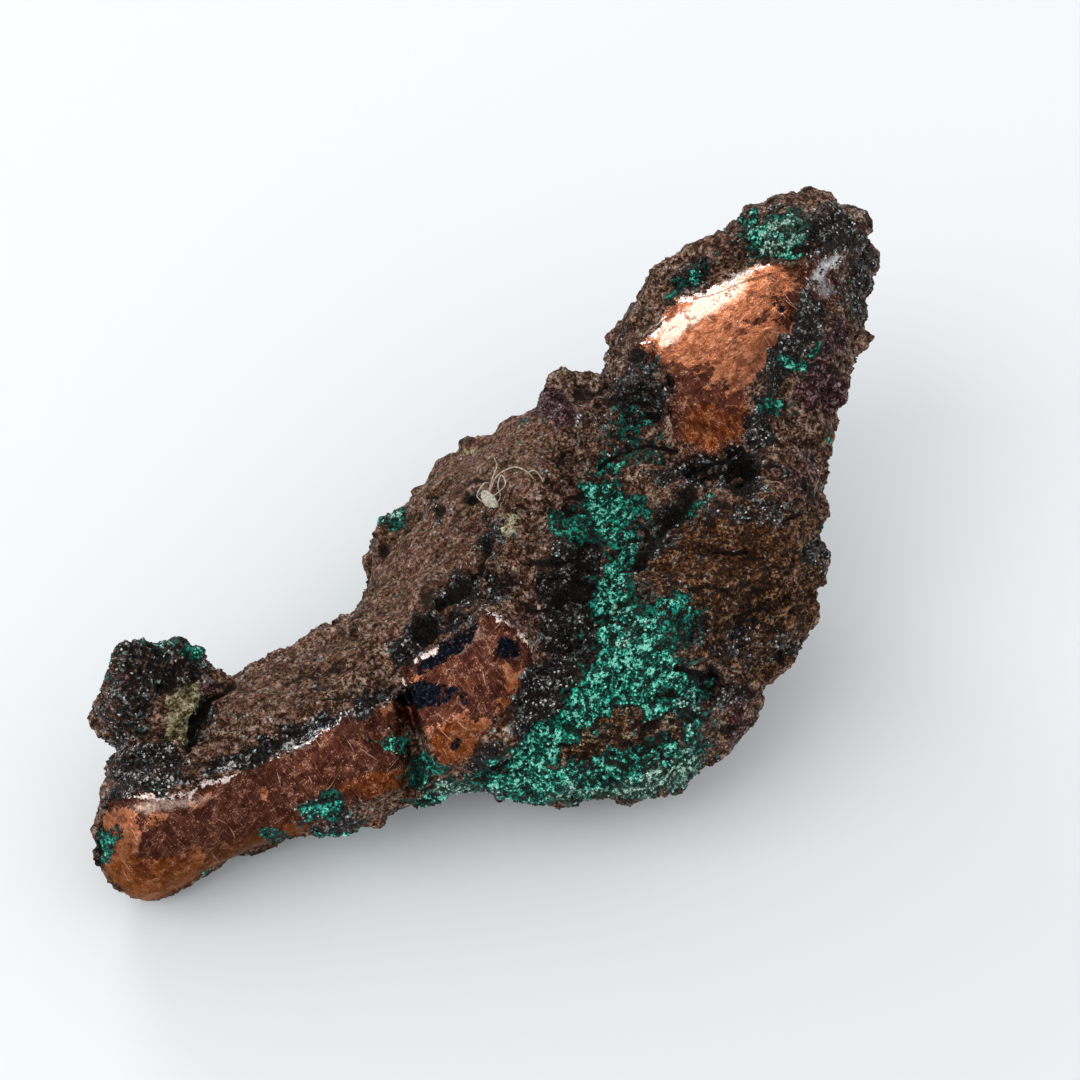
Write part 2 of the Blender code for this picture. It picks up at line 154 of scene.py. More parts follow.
# smaller patches: x, y, half width, half height, strength, and the turn in degrees if any
spotSetup = {
    "green": [
        (792, 364, 10, 8, 1.0), (773, 404, 15, 11, 1.0, -20), (819, 346, 6, 5, 0.9),
        (692, 280, 34, 9, 0.62, -42), (792, 221, 14, 6, 1.0, -20), (772, 249, 15, 7, 1.0, 5),
        (795, 249, 8, 6, 1.0), (772, 234, 36, 20, 0.76, -12), (752, 222, 14, 8, 0.8, -30),
        (606, 505, 34, 24, 0.86, 20), (636, 508, 26, 12, 0.72, 20), (588, 530, 30, 22, 0.66),
        (604, 520, 10, 26, 0.95, 10), (560, 522, 16, 14, 0.7), (618, 535, 22, 22, 0.7),
        (392, 518, 15, 15, 0.85, -50), (363, 602, 6, 14, 0.8, 10), (393, 742, 20, 18, 0.78, 20),
        (424, 770, 24, 15, 0.76, -20), (628, 432, 20, 30, 0.48, 20), (612, 470, 26, 12, 0.58),
        (187, 652, 9, 9, 0.95), (118, 668, 5, 13, 0.7, 20), (156, 639, 30, 8, 0.72),
        (280, 850, 34, 9, 0.9, -14), (445, 797, 40, 8, 0.9, -8), (108, 845, 15, 23, 0.72, 12),
        (321, 806, 20, 17, 0.74, -30), (275, 832, 14, 10, 0.7, -20), (523, 417, 18, 7, 0.6, -30),
        (680, 615, 30, 24, 0.62, -30), (690, 505, 20, 8, 0.55, -30), (640, 455, 30, 10, 0.5, -20),
        (152, 888, 42, 8, 0.35, -8), (205, 872, 14, 8, 0.6, -30), (600, 700, 40, 30, 0.8)],
    "dark": [
        (570, 610, 34, 75, 1.0), (540, 700, 30, 50, 0.9, 20), (600, 450, 46, 50, 0.32),
        (640, 400, 34, 40, 0.7), (780, 362, 16, 38, 0.85, 28), (806, 322, 16, 30, 0.8, 12),
        (768, 402, 14, 26, 0.7), (850, 236, 24, 20, 0.9), (150, 652, 44, 14, 0.7), (835, 232, 30, 22, 0.85),
        (856, 290, 16, 40, 0.7), (812, 236, 12, 16, 0.7), (122, 716, 24, 50, 0.62),
        (775, 234, 44, 28, 0.6, -12), (665, 528, 14, 48, 0.9, 38), (740, 476, 22, 26, 1.0),
        (425, 630, 17, 21, 1.0, 20), (495, 530, 12, 14, 0.8), (470, 600, 60, 24, 0.6, -35),
        (345, 820, 20, 14, 0.9), (140, 768, 42, 30, 0.75), (170, 660, 60, 34, 0.6),
        (200, 724, 12, 28, 1.0, 35), (473, 500, 9, 6, 0.9), (440, 511, 8, 7, 0.8),
        (300, 700, 60, 16, 0.2, -28), (340, 715, 70, 11, 0.8, -20), (250, 757, 60, 10, 0.8, -17),
        (160, 785, 46, 9, 0.9), (670, 620, 40, 30, 0.45), (700, 690, 46, 20, 0.7, 10),
        (815, 553, 9, 16, 0.8, 10), (690, 470, 40, 18, 0.75, -10), (108, 845, 17, 25, 0.9, 12),
        (321, 808, 23, 22, 0.9, -30), (275, 832, 16, 13, 0.85, -20), (830, 270, 30, 40, 0.5),
        (470, 790, 50, 16, 0.5, -6), (694, 276, 26, 16, 0.8, -40), (650, 360, 12, 10, 0.8),
        (757, 430, 14, 30, 0.8), (528, 705, 14, 34, 0.8, 30), (492, 758, 24, 16, 0.7, -40),
        (395, 745, 20, 20, 0.6), (120, 800, 24, 10, 0.6), (400, 648, 26, 14, 0.8, -50),
        (480, 604, 30, 10, 0.7, -10), (745, 516, 64, 14, 0.5, -8), (752, 646, 56, 20, 0.5, -14)],
    "plum": [
        (557, 411, 20, 30, 0.9), (838, 340, 16, 20, 1.0), (821, 384, 26, 25, 1.0), (643, 388, 15, 20, 0.5),
        (455, 620, 18, 14, 0.7), (140, 688, 34, 13, 0.9, -10), (214, 692, 12, 11, 0.9),
        (735, 700, 20, 14, 0.8, -20), (735, 735, 12, 22, 0.7, 20), (540, 640, 30, 60, 0.45),
        (555, 770, 20, 16, 0.5), (800, 470, 24, 22, 0.5), (860, 300, 14, 30, 0.6),
        (300, 660, 40, 14, 0.35, -28), (120, 740, 18, 30, 0.5)],
    "ochre": [
        (183, 716, 20, 28, 1.0, 10), (511, 527, 11, 9, 0.7), (472, 456, 10, 5, 0.6),
        (640, 280, 14, 20, 0.3, -40), (580, 738, 28, 10, 0.5, -10), (786, 236, 14, 7, 0.6),
        (655, 727, 26, 9, 0.48)],
    # pale grey metal on the head, and white painted glints along the upper borders of the bare metal
    "pale": [
        (826, 268, 26, 7, 1.0, -42), (824, 290, 13, 12, 0.62), (160, 780, 40, 6, 0.5, 6),
        (300, 740, 40, 4, 0.8, -32), (225, 768, 20, 4, 0.7, -20), (425, 652, 9, 4, 0.9, -20),
        (398, 686, 6, 4, 0.6, -50), (655, 330, 12, 4, 0.5, -50), (140, 750, 26, 12, 0.45, 20),
        (784, 600, 5, 4, 0.6)],
    "rim": [  # painted white highlight lines along borders of the bare metal
        (508, 618, 34, 10, 1.0, 22), (529, 640, 16, 18, 1.0, 30), (424, 655, 22, 10, 1.0, -20),
        (398, 686, 12, 16, 1.0, -50), (160, 795, 44, 12, 1.0, 2), (215, 780, 34, 10, 0.9, -16),
        (310, 736, 70, 12, 0.9, -32), (375, 700, 34, 10, 0.9, -8), (655, 330, 22, 20, 0.9, -50),
        (720, 284, 60, 14, 0.9, -26), (812, 280, 10, 20, 0.7)],
    "wearAndHighlight": [  # where the metal is worn paler, with a painted highlight over it
        (706, 302, 60, 11, 1.0, -37), (667, 336, 15, 13, 0.9, -40), (735, 300, 26, 7, 0.4, -20),
        (160, 806, 46, 9, 0.6, -4), (205, 800, 24, 9, 0.45, -16), (470, 640, 30, 16, 0.42, -30)],
    "night": [  # blue black on the metal
        (447, 648, 40, 10, 1.0, -37), (422, 695, 30, 13, 1.0, -4), (508, 648, 13, 13, 0.8),
        (455, 690, 14, 6, 0.6, 20), (468, 700, 8, 5, 0.5), (783, 309, 5, 4, 0.9), (795, 316, 5, 4, 0.9),
        (774, 303, 3, 3, 0.8), (497, 722, 9, 4, 0.7, -40), (455, 745, 6, 9, 0.6, 20),
        (665, 384, 6, 12, 0.9, -20)],
    "tarnish": [  # where its brown film is thickest
        (748, 320, 30, 12, 0.45, -20), (705, 385, 26, 26, 0.6), (738, 422, 15, 34, 0.9, 10),
        (250, 835, 60, 12, 0.6, -18), (340, 772, 54, 20, 0.8, -18), (180, 830, 20, 12, 0.4),
        (460, 690, 30, 14, 0.3, 30), (660, 345, 20, 12, 0.3, -40)],
    "glow": [  # where it is clean and orange
        (715, 305, 90, 45, 0.95, -35), (740, 350, 60, 60, 0.75), (705, 425, 22, 24, 0.6),
        (118, 835, 22, 34, 0.8), (150, 882, 55, 22, 0.85, -8), (196, 862, 26, 14, 0.6, -30),
        (392, 708, 18, 9, 0.8, -10), (300, 832, 12, 9, 0.8), (468, 742, 34, 27, 0.75, -30),
        (507, 690, 16, 30, 0.45, 20), (420, 690, 20, 24, 0.3), (150, 812, 40, 12, 0.5),
        (375, 785, 30, 8, 0.5, -10), (425, 742, 22, 14, 0.6, 20), (215, 800, 30, 12, 0.42, -20),
        (268, 792, 20, 10, 0.45, -20), (330, 745, 34, 12, 0.3, -30), (370, 720, 24, 10, 0.34, -20)],
    "chalk": [  # pale grey green
        (772, 249, 13, 7, 1.0, 5), (782, 232, 30, 15, 0.62, -14), (792, 221, 12, 6, 1.0, -20),
        (660, 780, 50, 18, 0.8, -25), (590, 792, 60, 12, 0.6), (470, 792, 40, 9, 0.7, -6),
        (160, 638, 26, 7, 0.9), (280, 850, 34, 8, 0.6, -14), (392, 518, 14, 14, 0.4, -50),
        (150, 720, 12, 14, 0.5), (625, 625, 20, 30, 0.35), (152, 892, 40, 6, 0.5, -8),
        (690, 720, 20, 40, 0.4, 10)],
    "amber": [  # dark amber on it
        (705, 425, 22, 26, 1.0), (738, 425, 16, 28, 0.6, 10), (150, 878, 60, 22, 0.9, -8),
        (300, 835, 50, 16, 0.7, -20), (460, 745, 34, 26, 0.9, -20), (380, 785, 40, 12, 0.8, -16),
        (118, 850, 18, 24, 0.5), (507, 695, 14, 24, 0.5, 20), (340, 790, 30, 10, 0.6, -20)],
    "calm": [  # where the crust is worn to a smoother slab
        (480, 470, 90, 42, 1.0, -38), (425, 565, 74, 52, 0.8, -50), (290, 680, 80, 30, 0.7, -28),
        (730, 560, 70, 40, 0.4, -20)],
}

# small forms raised from the surface: x, y, half width, half height, height in mm, turn if any
lumps = [
    (560, 551, 15, 9, 0.8), (693, 652, 24, 8, 0.7, 8), (465, 443, 10, 7, 0.6), (643, 386, 15, 20, 0.5),
    (740, 476, 18, 22, -0.8), (425, 630, 14, 17, -0.6, 20), (473, 500, 8, 5, -0.4), (440, 511, 7, 6, -0.4),
    (784, 597, 5, 6, -0.6), (761, 607, 6, 4, -0.5), (777, 655, 6, 6, -0.6), (708, 668, 6, 5, -0.5),
    (668, 383, 5, 11, -0.5, -20), (382, 552, 8, 8, -0.4), (635, 356, 9, 8, -0.4),
]

# cracks: half width in pixels, depth in mm, then the points along it
cracks = [
    (4, 0.6, [(488, 541), (483, 573), (460, 592), (439, 607)]),
    (7, 0.7, [(692, 492), (665, 528), (637, 562)]), (2.5, 0.6, [(713, 550), (730, 554), (747, 552)]),
    (2.5, 0.5, [(782, 572), (789, 567), (795, 560)]), (2, 0.4, [(779, 520), (797, 516)]),
    (5, 0.8, [(232, 684), (212, 703), (195, 722), (188, 749)]),
    (3, 0.4, [(574, 540), (580, 560), (578, 578)]), (4, 0.6, [(676, 668), (700, 674), (718, 676)]),
    (2, 0.35, [(690, 590), (712, 586), (728, 592)]), (2, 0.35, [(735, 618), (752, 611), (772, 614)]),
    (2.5, 0.45, [(598, 470), (622, 452), (650, 446), (676, 452)]),
    (2.5, 0.4, [(690, 470), (720, 462), (742, 448)]), (2.5, 0.4, [(520, 560), (545, 566), (572, 560)]),
]


def ellipse(view, x, y, wide, high, turn=0):  # 1 on its rim, 0 in its middle
    c, s = math.cos(math.radians(turn)), math.sin(math.radians(turn))
    dx, dy = view[:, 0] - x, view[:, 1] - y
    return np.hypot((dx * c + dy * s) / wide, (dy * c - dx * s) / high)


def ramp(value, low, high):  # 0 at low, 1 at high, smooth between
    t = np.clip((value - low) / (high - low), 0.0, 1.0)
    return t * t * (3.0 - 2.0 * t)


def spotField(view, spots):  # the strongest of them at each point
    total = np.zeros(len(view))
    for x, y, wide, high, strength, *turn in spots:
        total = np.maximum(total, strength * ramp(ellipse(view, x, y, wide, high, *turn), 1.3, 0.6))
    return total


def distanceToLine(view, line, closed=False):
    ends = list(zip(line, line[1:] + line[:1])) if closed else list(zip(line, line[1:]))
    nearest = np.full(len(view), 1e9)
    for start, end in ends:
        start, end = np.array(start, float), np.array(end, float)
        along = end - start
        t = np.clip((view - start) @ along / (along @ along), 0.0, 1.0)
        nearest = np.minimum(nearest, np.linalg.norm(view - start - t[:, None] * along, axis=1))
    return nearest


def insideOutline(view, line):
    inside = np.zeros(len(view), bool)
    x, y = view[:, 0], view[:, 1]
    for (x1, y1), (x2, y2) in zip(line, line[1:] + line[:1]):
        if y1 == y2:
            continue
        crosses = (y1 > y) != (y2 > y)
        inside ^= crosses & (x < (x2 - x1) * (y - y1) / (y2 - y1) + x1)
    return inside


def outlineField(view, outlines):  # mm inside the nearest outline, below 0 outside
    deepest = np.full(len(view), -1e9)
    for line in outlines.values():
        away = distanceToLine(view, line, closed=True) / pixelsPerMm
        deepest = np.maximum(deepest, np.where(insideOutline(view, line), away, -away))
    return deepest


# noise on a list of points

def cloud(points, size, layers=3, seed=0.0):  # about -1 to 1, with lumps of this size
    shift = Vector((seed, seed * 1.7, -seed))
    return np.array([noise.fractal(Vector(p) / size + shift, 0.9, 2.1, layers) for p in points])


def pebbles(points, size, seed=0.0):  # 1 in the middle of each pebble, 0 where two meet
    shift = Vector((seed, -seed, seed * 0.6))
    found = np.array([noise.voronoi(Vector(p) / size + shift)[0][:2] for p in points])
    return ramp(found[:, 1] - found[:, 0], 0.0, 0.5)


def blocks(points, size, seed=0.0):  # tilted flat-topped blocks at random heights, about -0.5 to 0.5
    places = points / size + (seed, -seed, seed * 0.6)
    near = np.array([(*away[:2], *middles[0], *middles[1]) for away, middles in
                     (noise.voronoi(Vector(p)) for p in places)])
    share = 0.5 + 0.5 * ramp(near[:, 1] - near[:, 0], 0.0, 0.16)
    total = np.zeros(len(points))
    for centre, part in ((near[:, 2:5], share), (near[:, 5:8], 1.0 - share)):
        luck = (np.sin(centre @ np.array([[12.9, 39.3, 73.1, 9.7], [78.2, 11.1, 52.2, 63.7],
                                          [37.7, 83.2, 21.5, 94.6]])) * 43758.5) % 1.0
        tilt = ((places - centre) * (luck[:, 1:] - 0.5)).sum(axis=1)
        total += part * (luck[:, 0] - 0.5 + tilt * 1.3)
    return total


def placeThing(name, data):
    thing = bpy.data.objects.new(name, data)
    bpy.context.scene.collection.objects.link(thing)
    return thing


def bakeModifiers(thing):
    graph = bpy.context.evaluated_depsgraph_get()
    made = bpy.data.meshes.new_from_object(thing.evaluated_get(graph))
    old = thing.data
    thing.modifiers.clear()
    thing.data = made
    bpy.data.meshes.remove(old)


def readPoints(mesh, what="co"):
    values = np.empty(len(mesh.vertices) * 3, np.float32)
    mesh.vertices.foreach_get(what, values)
    return values.reshape(-1, 3).astype(float)


def writeValues(mesh, name, values):
    mesh.attributes.new(name, "FLOAT", "POINT").data.foreach_set("value", values.astype(np.float32))


crustFields = ["green", "dark", "rust", "plum", "ochre", "pale", "chalk", "deep", "calm"]
metalFields = ["bare", "night", "tarnish", "glow", "amber", "rim", "wearAndHighlight"]

# each finish: how far slow and fast noise push its border about, in pixels, and where the view
# doesn't reach, the size in mm, the least and the seed of the noise that takes its place
fieldSetup = {
    "green": (13, 7, 8.0, 0.16, 21.0), "dark": (13, 7, 6.0, 0.05, 34.0), "rust": (13, 7, 13.0, 0.1, 47.0),
    "plum": (13, 7, 5.5, 0.3, 55.0), "ochre": (13, 7, 4.0, 0.5, 68.0), "chalk": (13, 7, 7.0, 0.1, 91.0),
    "calm": (13, 7, 9.0, 0.15, 103.0), "tarnish": (0, 4, 4.0, 0.1, 77.0), "glow": (4, 5, 4.0, 0.0, 83.0),
    "amber": (3, 4, 4.0, 0.1, 97.0), "rim": (0, 3, 6.0, 0.1, 111.0), "pale": (0, 4), "night": (0, 4),
    "wearAndHighlight": (0, 4),
}

# the nugget itself, cut finely from a copy of its CAD node

nuggetSetup = {
    "voxel": 0.22,  # mm, how finely it is cut
    "soften": 8,  # rounds of smoothing over the whole
    "polish": 60,  # more rounds where the metal is bare
    # how freely each bare face may curve, how many mm round it are pressed down to it, and the folds
    # across it: a point in the view, the heading, and the angle in degrees that the side to the left
    # of the heading is turned down
    "planed": {
        "head": (1, 2.4, [(668, 349, 82, -62, 9.5), (745, 392, -73, 6, 34.0)]),
        "knob": (1, 1.2, [(505, 640, -65, 95, 24.0)]),
        "arm": (4, 1.2, []),
    },
    "bow": 0.5,  # how far a flat face still swells over 10 mm
    "rim": 0.45,  # width and drop of the worn rim of each bare face
    "rimDrop": 0.12,
    "lumpSize": 2.4,
    "lumpHeight": 0.24,
    "blockSize": 2.9,
    "blockHeight": 0.95,
    "chipSize": 1.15,
    "chipHeight": 0.36,
    "beddingStep": 0.95,  # ledges across the rusty bulge and the neck
    "beddingHeight": 0.22,
    "crumbSize": 0.62,
    "crumbHeight": 0.15,
    "barkSize": 1.1,
    "barkHeight": 0.19,
    "coarseHeight": 0.14,
    "crustStep": 0.24,  # how far the crust stands above bare metal
    "besideMetal": 0.40,  # the share of the crust's height that is left beside it
    "calmShare": 0.72,  # how much of the blocks a smoother slab loses
    "dents": 0.05,  # in the metal
    "nightDepth": 0.06,
    "pulledIn": 0.10,  # all of the surface, to stay inside the solid's box
    "mostTriangles": 198000,
}

# bare patches on the sides that the view doesn't show: x, y, z, radius
hiddenBare = {
    "headBack": (27.0, 7.5, 20.0, 5.0),
    "bellyBack": (4.0, 15.5, 9.0, 4.0),
    "armBack": (-27.0, 4.0, 8.0, 3.2),
}


def finishFields(points, normals):
    toEye = cameraSpot - points
    toEye /= np.linalg.norm(toEye, axis=1)[:, None]
    seen = ramp((normals * toEye).sum(axis=1), -0.18, 0.16)
    view = toView(points)
    slow = np.column_stack([cloud(points, 2.6, 3, 3.1), cloud(points, 2.6, 3, 8.4)])
    fast = np.column_stack([cloud(points, 0.8, 2, 5.7), cloud(points, 0.8, 2, 1.9)])
    fields = {"seen": seen}

    bare = np.clip(outlineField(view + slow * 1.5 + fast * 2.6, bareOutlines), -3.0, 3.0)
    hidden = np.full(len(points), -3.0)
    for x, y, z, radius in hiddenBare.values():
        hidden = np.maximum(hidden, radius - np.linalg.norm(points - np.array([x, y, z]), axis=1))
    hidden = np.clip(hidden + slow[:, 0] * 1.2 + fast[:, 0] * 0.3, -3.0, 3.0)
    fields["bare"] = seen * bare + (1 - seen) * hidden

    for name, (far, near, *behind) in fieldSetup.items():
        place = view + slow * far + fast * near
        front = spotField(place, spotSetup.get(name, []))
        if name in crustOutlines:
            low, high, most, outlines = crustOutlines[name]
            front = np.maximum(front, ramp(outlineField(place, outlines), low, high) * most)
        fields[name] = seen * front
        if behind:
            size, least, seed = behind
            fields[name] += (1 - seen) * ramp(cloud(points, size, 3, seed), least, least + 0.35)
        if name == "green":
            fields[name] *= 1 - 0.85 * seen * ramp(outlineField(place, greenGaps), -0.3, 0.4)
    return fields, view, fast


def planeDown(points, normals, outline, degree, reach, folds):
    # draws the bare face inside an outline onto one smooth sheet, with folds where it turns
    view = toView(points)
    deep = outlineField(view, {"one": outline})
    inside = np.nonzero((deep > -reach) & (normals @ toCamera > 0.0))[0]
    core = points[inside]
    middle = core.mean(axis=0)
    axes = np.linalg.svd(core - middle, full_matrices=False)[2]
    axes[2] *= np.sign(axes[2] @ toCamera)
    u, v, w = ((core - middle) @ axes.T / 10.0).T
    shape = np.zeros(len(inside))
    for x, y, right, down, angle in folds:
        turned = np.array([down, -right]) / math.hypot(right, down)
        over = (view[inside] - (x, y)) @ turned / pixelsPerMm
        shape -= math.tan(math.radians(angle)) * (np.sqrt(over * over + 0.1) + over) / 20.0
    if degree < 3:
        shape -= nuggetSetup["bow"] / 10.0 * (u * u + v * v)
    table = np.column_stack([u ** i * v ** j for i in range(degree + 1) for j in range(degree + 1 - i)])
    pull = ramp(deep[inside], -0.8, 0.2)
    weight = pull + 0.02
    fit = np.linalg.lstsq(table * weight[:, None], (w - shape) * weight, rcond=None)[0]
    drop = ramp(deep[inside], nuggetSetup["rim"], 0.0) ** 2 * nuggetSetup["rimDrop"]
    rise = (table @ fit + shape - w) * 10.0 - drop
    # what stands above the sheet round its rim is pressed down too
    rise *= np.where(rise < 0, ramp(deep[inside], -reach, -0.6 * reach), pull)
    points = points.copy()
    points[inside] += rise[:, None] * axes[2]
    return points


def makeNugget():
    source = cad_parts["copper_nugget"]
    thing = placeThing("copper_nugget_in_crust", source.data.copy())
    cut = bmesh.new()
    cut.from_mesh(thing.data)
    bmesh.ops.remove_doubles(cut, verts=cut.verts[:], dist=1e-6)
    cut.to_mesh(thing.data)
    cut.free()
    remesh = thing.modifiers.new("cut", "REMESH")
    remesh.mode, remesh.voxel_size = "VOXEL", nuggetSetup["voxel"] * mm
    smooth = thing.modifiers.new("soften", "SMOOTH")
    smooth.factor, smooth.iterations = 0.5, nuggetSetup["soften"]
    bakeModifiers(thing)
    print("nugget cut:", len(thing.data.vertices), "points")

    weights = ramp(outlineField(toView(readPoints(thing.data) / mm), bareOutlines), -0.6, 0.8)
    group = thing.vertex_groups.new(name="bareMetal")
    for i in np.nonzero(weights > 0.02)[0]:
        group.add([int(i)], float(weights[i]), "REPLACE")
    polish = thing.modifiers.new("polish", "SMOOTH")
    polish.factor, polish.iterations, polish.vertex_group = 0.5, nuggetSetup["polish"], "bareMetal"
    bakeModifiers(thing)
    thing.vertex_groups.clear()
    mesh = thing.data
    points, normals = readPoints(mesh) / mm, readPoints(mesh, "normal")
    for name, (degree, reach, folds) in nuggetSetup["planed"].items():
        points = planeDown(points, normals, bareOutlines[name], degree, reach, folds)
    mesh.vertices.foreach_set("co", (points * mm).astype(np.float32).ravel())
    mesh.update()
    normals = readPoints(mesh, "normal")
    fields, view, fast = finishFields(points, normals)
    setup = nuggetSetup
    beside = setup["besideMetal"] + (1 - setup["besideMetal"]) * ramp(fields["bare"], -0.3, -1.7)
    crust = ramp(fields["bare"], 0.10, -0.20) * beside
    lump = cloud(points, setup["lumpSize"], 4, 12.0) * setup["lumpHeight"]
    granules = pebbles(points, setup["crumbSize"], 2.0) - 0.5
    coarse = pebbles(points, setup["crumbSize"] * 2.1, 7.0) - 0.5
    # blocks and bark run along the length, so their noise is drawn out that way
    drawn = np.column_stack([points @ toRight * 0.5 + points @ toTop * 0.25,
                             points @ toTop - points @ toRight * 0.3, points @ toCamera])
    bent = drawn + lump[:, None] * (2.0, -1.5, 0.8) + granules[:, None] * (0.2, 0.15, 0.2)
    bark = cloud(drawn, setup["barkSize"], 4, 3.0)
    rocky = blocks(bent, setup["blockSize"], 4.0) * setup["blockHeight"]
    rocky += blocks(bent, setup["chipSize"], 9.0) * setup["chipHeight"]
    level = (points @ toTop - points @ toRight * 0.12 + lump * 1.6) / setup["beddingStep"]
    bedding = (level % 1.0) - 0.5
    bedding *= setup["beddingHeight"] * np.clip(ramp(fields["rust"], 0.2, 0.7) + 0.25, 0, 1)
    rocky += bedding * ramp(np.abs(bedding), 0.0, 0.02)
    rough = 1.0 - setup["calmShare"] * fields["calm"]
    grainy = np.clip(fields["dark"] + fields["green"], 0, 1)
    height = crust * (setup["crustStep"] + lump)
    gritty = (0.4 + 0.6 * grainy) * (1.0 - 0.55 * fields["calm"])
    height += crust * (granules * setup["crumbHeight"] * gritty
                       + coarse * setup["coarseHeight"] * (0.3 + grainy))
    height += crust * (bark * setup["barkHeight"] + rocky) * rough * (1.0 - 0.35 * grainy)
    metal = ramp(fields["bare"], -0.20, 0.10)
    height += metal * cloud(points, 3.5, 2, 9.0) * setup["dents"]
    height -= metal * ramp(fields["night"], 0.3, 0.6) * setup["nightDepth"]

    deep = np.zeros(len(points))
    wobbly = view + fast * 2.0
    front = fields["seen"]
    for x, y, wide, high, rise, *turn in lumps:
        shape = ramp(ellipse(wobbly, x, y, wide, high, *turn), 1.25, 0.55) * front
        height += shape * rise
        if rise < 0:
            deep = np.maximum(deep, shape)
    for wide, depth, line in cracks:
        shape = ramp(distanceToLine(wobbly, line), wide * 1.5, wide * 0.3) * front
        height -= shape * depth
        deep = np.maximum(deep, shape)
    # cracks, dents and low places of the relief, which the crust colour paints dark as shade
    low = ramp(bark * 0.5 * rough + coarse * 0.6 + granules * 0.4 + rocky * 0.6, -0.22, -0.75) * crust
    fields["deep"] = np.clip(np.maximum(deep, low * 0.8), 0, 1)

    moved = points + normals * (height - setup["pulledIn"])[:, None]
    lowest, highest = (np.array(corner) / mm for corner in cadBox)
    moved = np.clip(moved, lowest + 0.02, highest - 0.02)
    moved[:, 2] = np.where(points[:, 2] < 0.12, 0.0, np.maximum(moved[:, 2], 0.0))
    mesh.vertices.foreach_set("co", (moved * mm).astype(np.float32).ravel())
    for name in crustFields + metalFields:
        writeValues(mesh, name, fields[name])
    mesh.shade_smooth()
    mesh.update()
    triangulate = thing.modifiers.new("triangles", "TRIANGULATE")
    triangulate.quad_method = "SHORTEST_DIAGONAL"
    count = sum(len(face.vertices) - 2 for face in mesh.polygons)
    if count > setup["mostTriangles"]:
        thin = thing.modifiers.new("thin", "DECIMATE")
        thin.ratio = setup["mostTriangles"] / count
        thin.use_collapse_triangulate = True
    bakeModifiers(thing)
    print("nugget shaped:", len(thing.data.polygons), "triangles")
    return thing


nugget = makeNugget()

# finishes

finishSetup = {
    "specular": 0.28,
    "copperTint": (1.0, 0.66, 0.50),  # of its glancing reflections
    "bump": (0.19, 1.0),  # depth in mm, strength
    "grainBump": (0.10, 0.7),
    "mossRough": 0.55,
    "metalRough": 0.34,
    "nightRough": 0.42,
    "paleMetal": 0.6,  # how metallic the pale patches are
    "marksLong": 0.42,  # lengths to a mm along a scratch
    # worn marks: heading in degrees, lines to a mm, seed, share that shows
    "scratches": [(48, 1.3, 0.0, 0.05), (118, 1.1, 5.0, 0.08), (104, 1.2, 9.0, 0.06), (-38, 1.4, 21.0, 0.06)],
    "hatching": [(-56, 8.5, 41.0, 0.9), (58, 7.5, 33.0, 0.9)],
}

# tones of each finish from its darkest grain to its brightest, as linear colour
tones = {
    "brown": [(0.0, (0.006, 0.003, 0.002)), (0.25, (0.068, 0.029, 0.016)), (0.5, (0.185, 0.088, 0.053)),
              (0.75, (0.34, 0.185, 0.118)), (1.0, (0.72, 0.53, 0.41))],
    "red": [(0.0, (0.006, 0.002, 0.001)), (0.3, (0.062, 0.017, 0.011)), (0.7, (0.185, 0.064, 0.043)),
            (1.0, (0.46, 0.26, 0.20))],
    "rust": [(0.0, (0.002, 0.001, 0.001)), (0.3, (0.017, 0.006, 0.002)), (0.6, (0.070, 0.024, 0.008)),
             (0.85, (0.185, 0.068, 0.023)), (1.0, (0.46, 0.25, 0.12))],
    "dark": [(0.0, (0.001, 0.001, 0.002)), (0.4, (0.008, 0.008, 0.009)), (0.72, (0.070, 0.066, 0.066)),
             (1.0, (0.90, 0.88, 0.87))],
    "green": [(0.0, (0.001, 0.004, 0.004)), (0.3, (0.003, 0.052, 0.039)), (0.6, (0.010, 0.32, 0.22)),
              (0.85, (0.030, 0.70, 0.49)), (1.0, (0.36, 0.95, 0.75))],
    "chalk": [(0.0, (0.003, 0.008, 0.007)), (0.4, (0.042, 0.115, 0.088)), (0.75, (0.17, 0.42, 0.32)),
              (1.0, (0.66, 0.90, 0.78))],
    "plum": [(0.0, (0.004, 0.002, 0.003)), (0.5, (0.046, 0.010, 0.014)), (0.85, (0.135, 0.042, 0.050)),
             (1.0, (0.32, 0.19, 0.20))],
    "ochre": [(0.0, (0.045, 0.033, 0.012)), (0.4, (0.22, 0.165, 0.070)), (0.8, (0.52, 0.44, 0.23)),
              (1.0, (0.80, 0.75, 0.52))],
    "pale": [(0.0, (0.010, 0.010, 0.012)), (0.5, (0.24, 0.24, 0.25)), (1.0, (0.92, 0.90, 0.88))],
    "night": [(0.0, (0.001, 0.0015, 0.003)), (0.7, (0.006, 0.008, 0.014)), (1.0, (0.05, 0.06, 0.08))],
    "steel": [(0.0, (0.02, 0.02, 0.025)), (0.5, (0.20, 0.19, 0.21)), (0.75, (0.60, 0.58, 0.58)),
              (1.0, (0.95, 0.93, 0.92))],
    # brown film on the metal, the worn metal, and the deep orange under it
    "film": [(0.0, (0.018, 0.005, 0.003)), (0.4, (0.062, 0.019, 0.012)), (0.75, (0.128, 0.043, 0.026)),
             (1.0, (0.27, 0.115, 0.075))],
    "copper": [(0.0, (0.115, 0.036, 0.018)), (0.4, (0.30, 0.102, 0.047)), (0.75, (0.44, 0.165, 0.082)),
               (1.0, (0.72, 0.39, 0.26))],
    "amber": [(0.0, (0.022, 0.005, 0.001)), (0.5, (0.125, 0.027, 0.005)), (1.0, (0.32, 0.090, 0.021))],
    "lint": [(0.0, (0.16, 0.13, 0.09)), (0.4, (0.46, 0.41, 0.31)), (1.0, (0.88, 0.83, 0.72))],
}


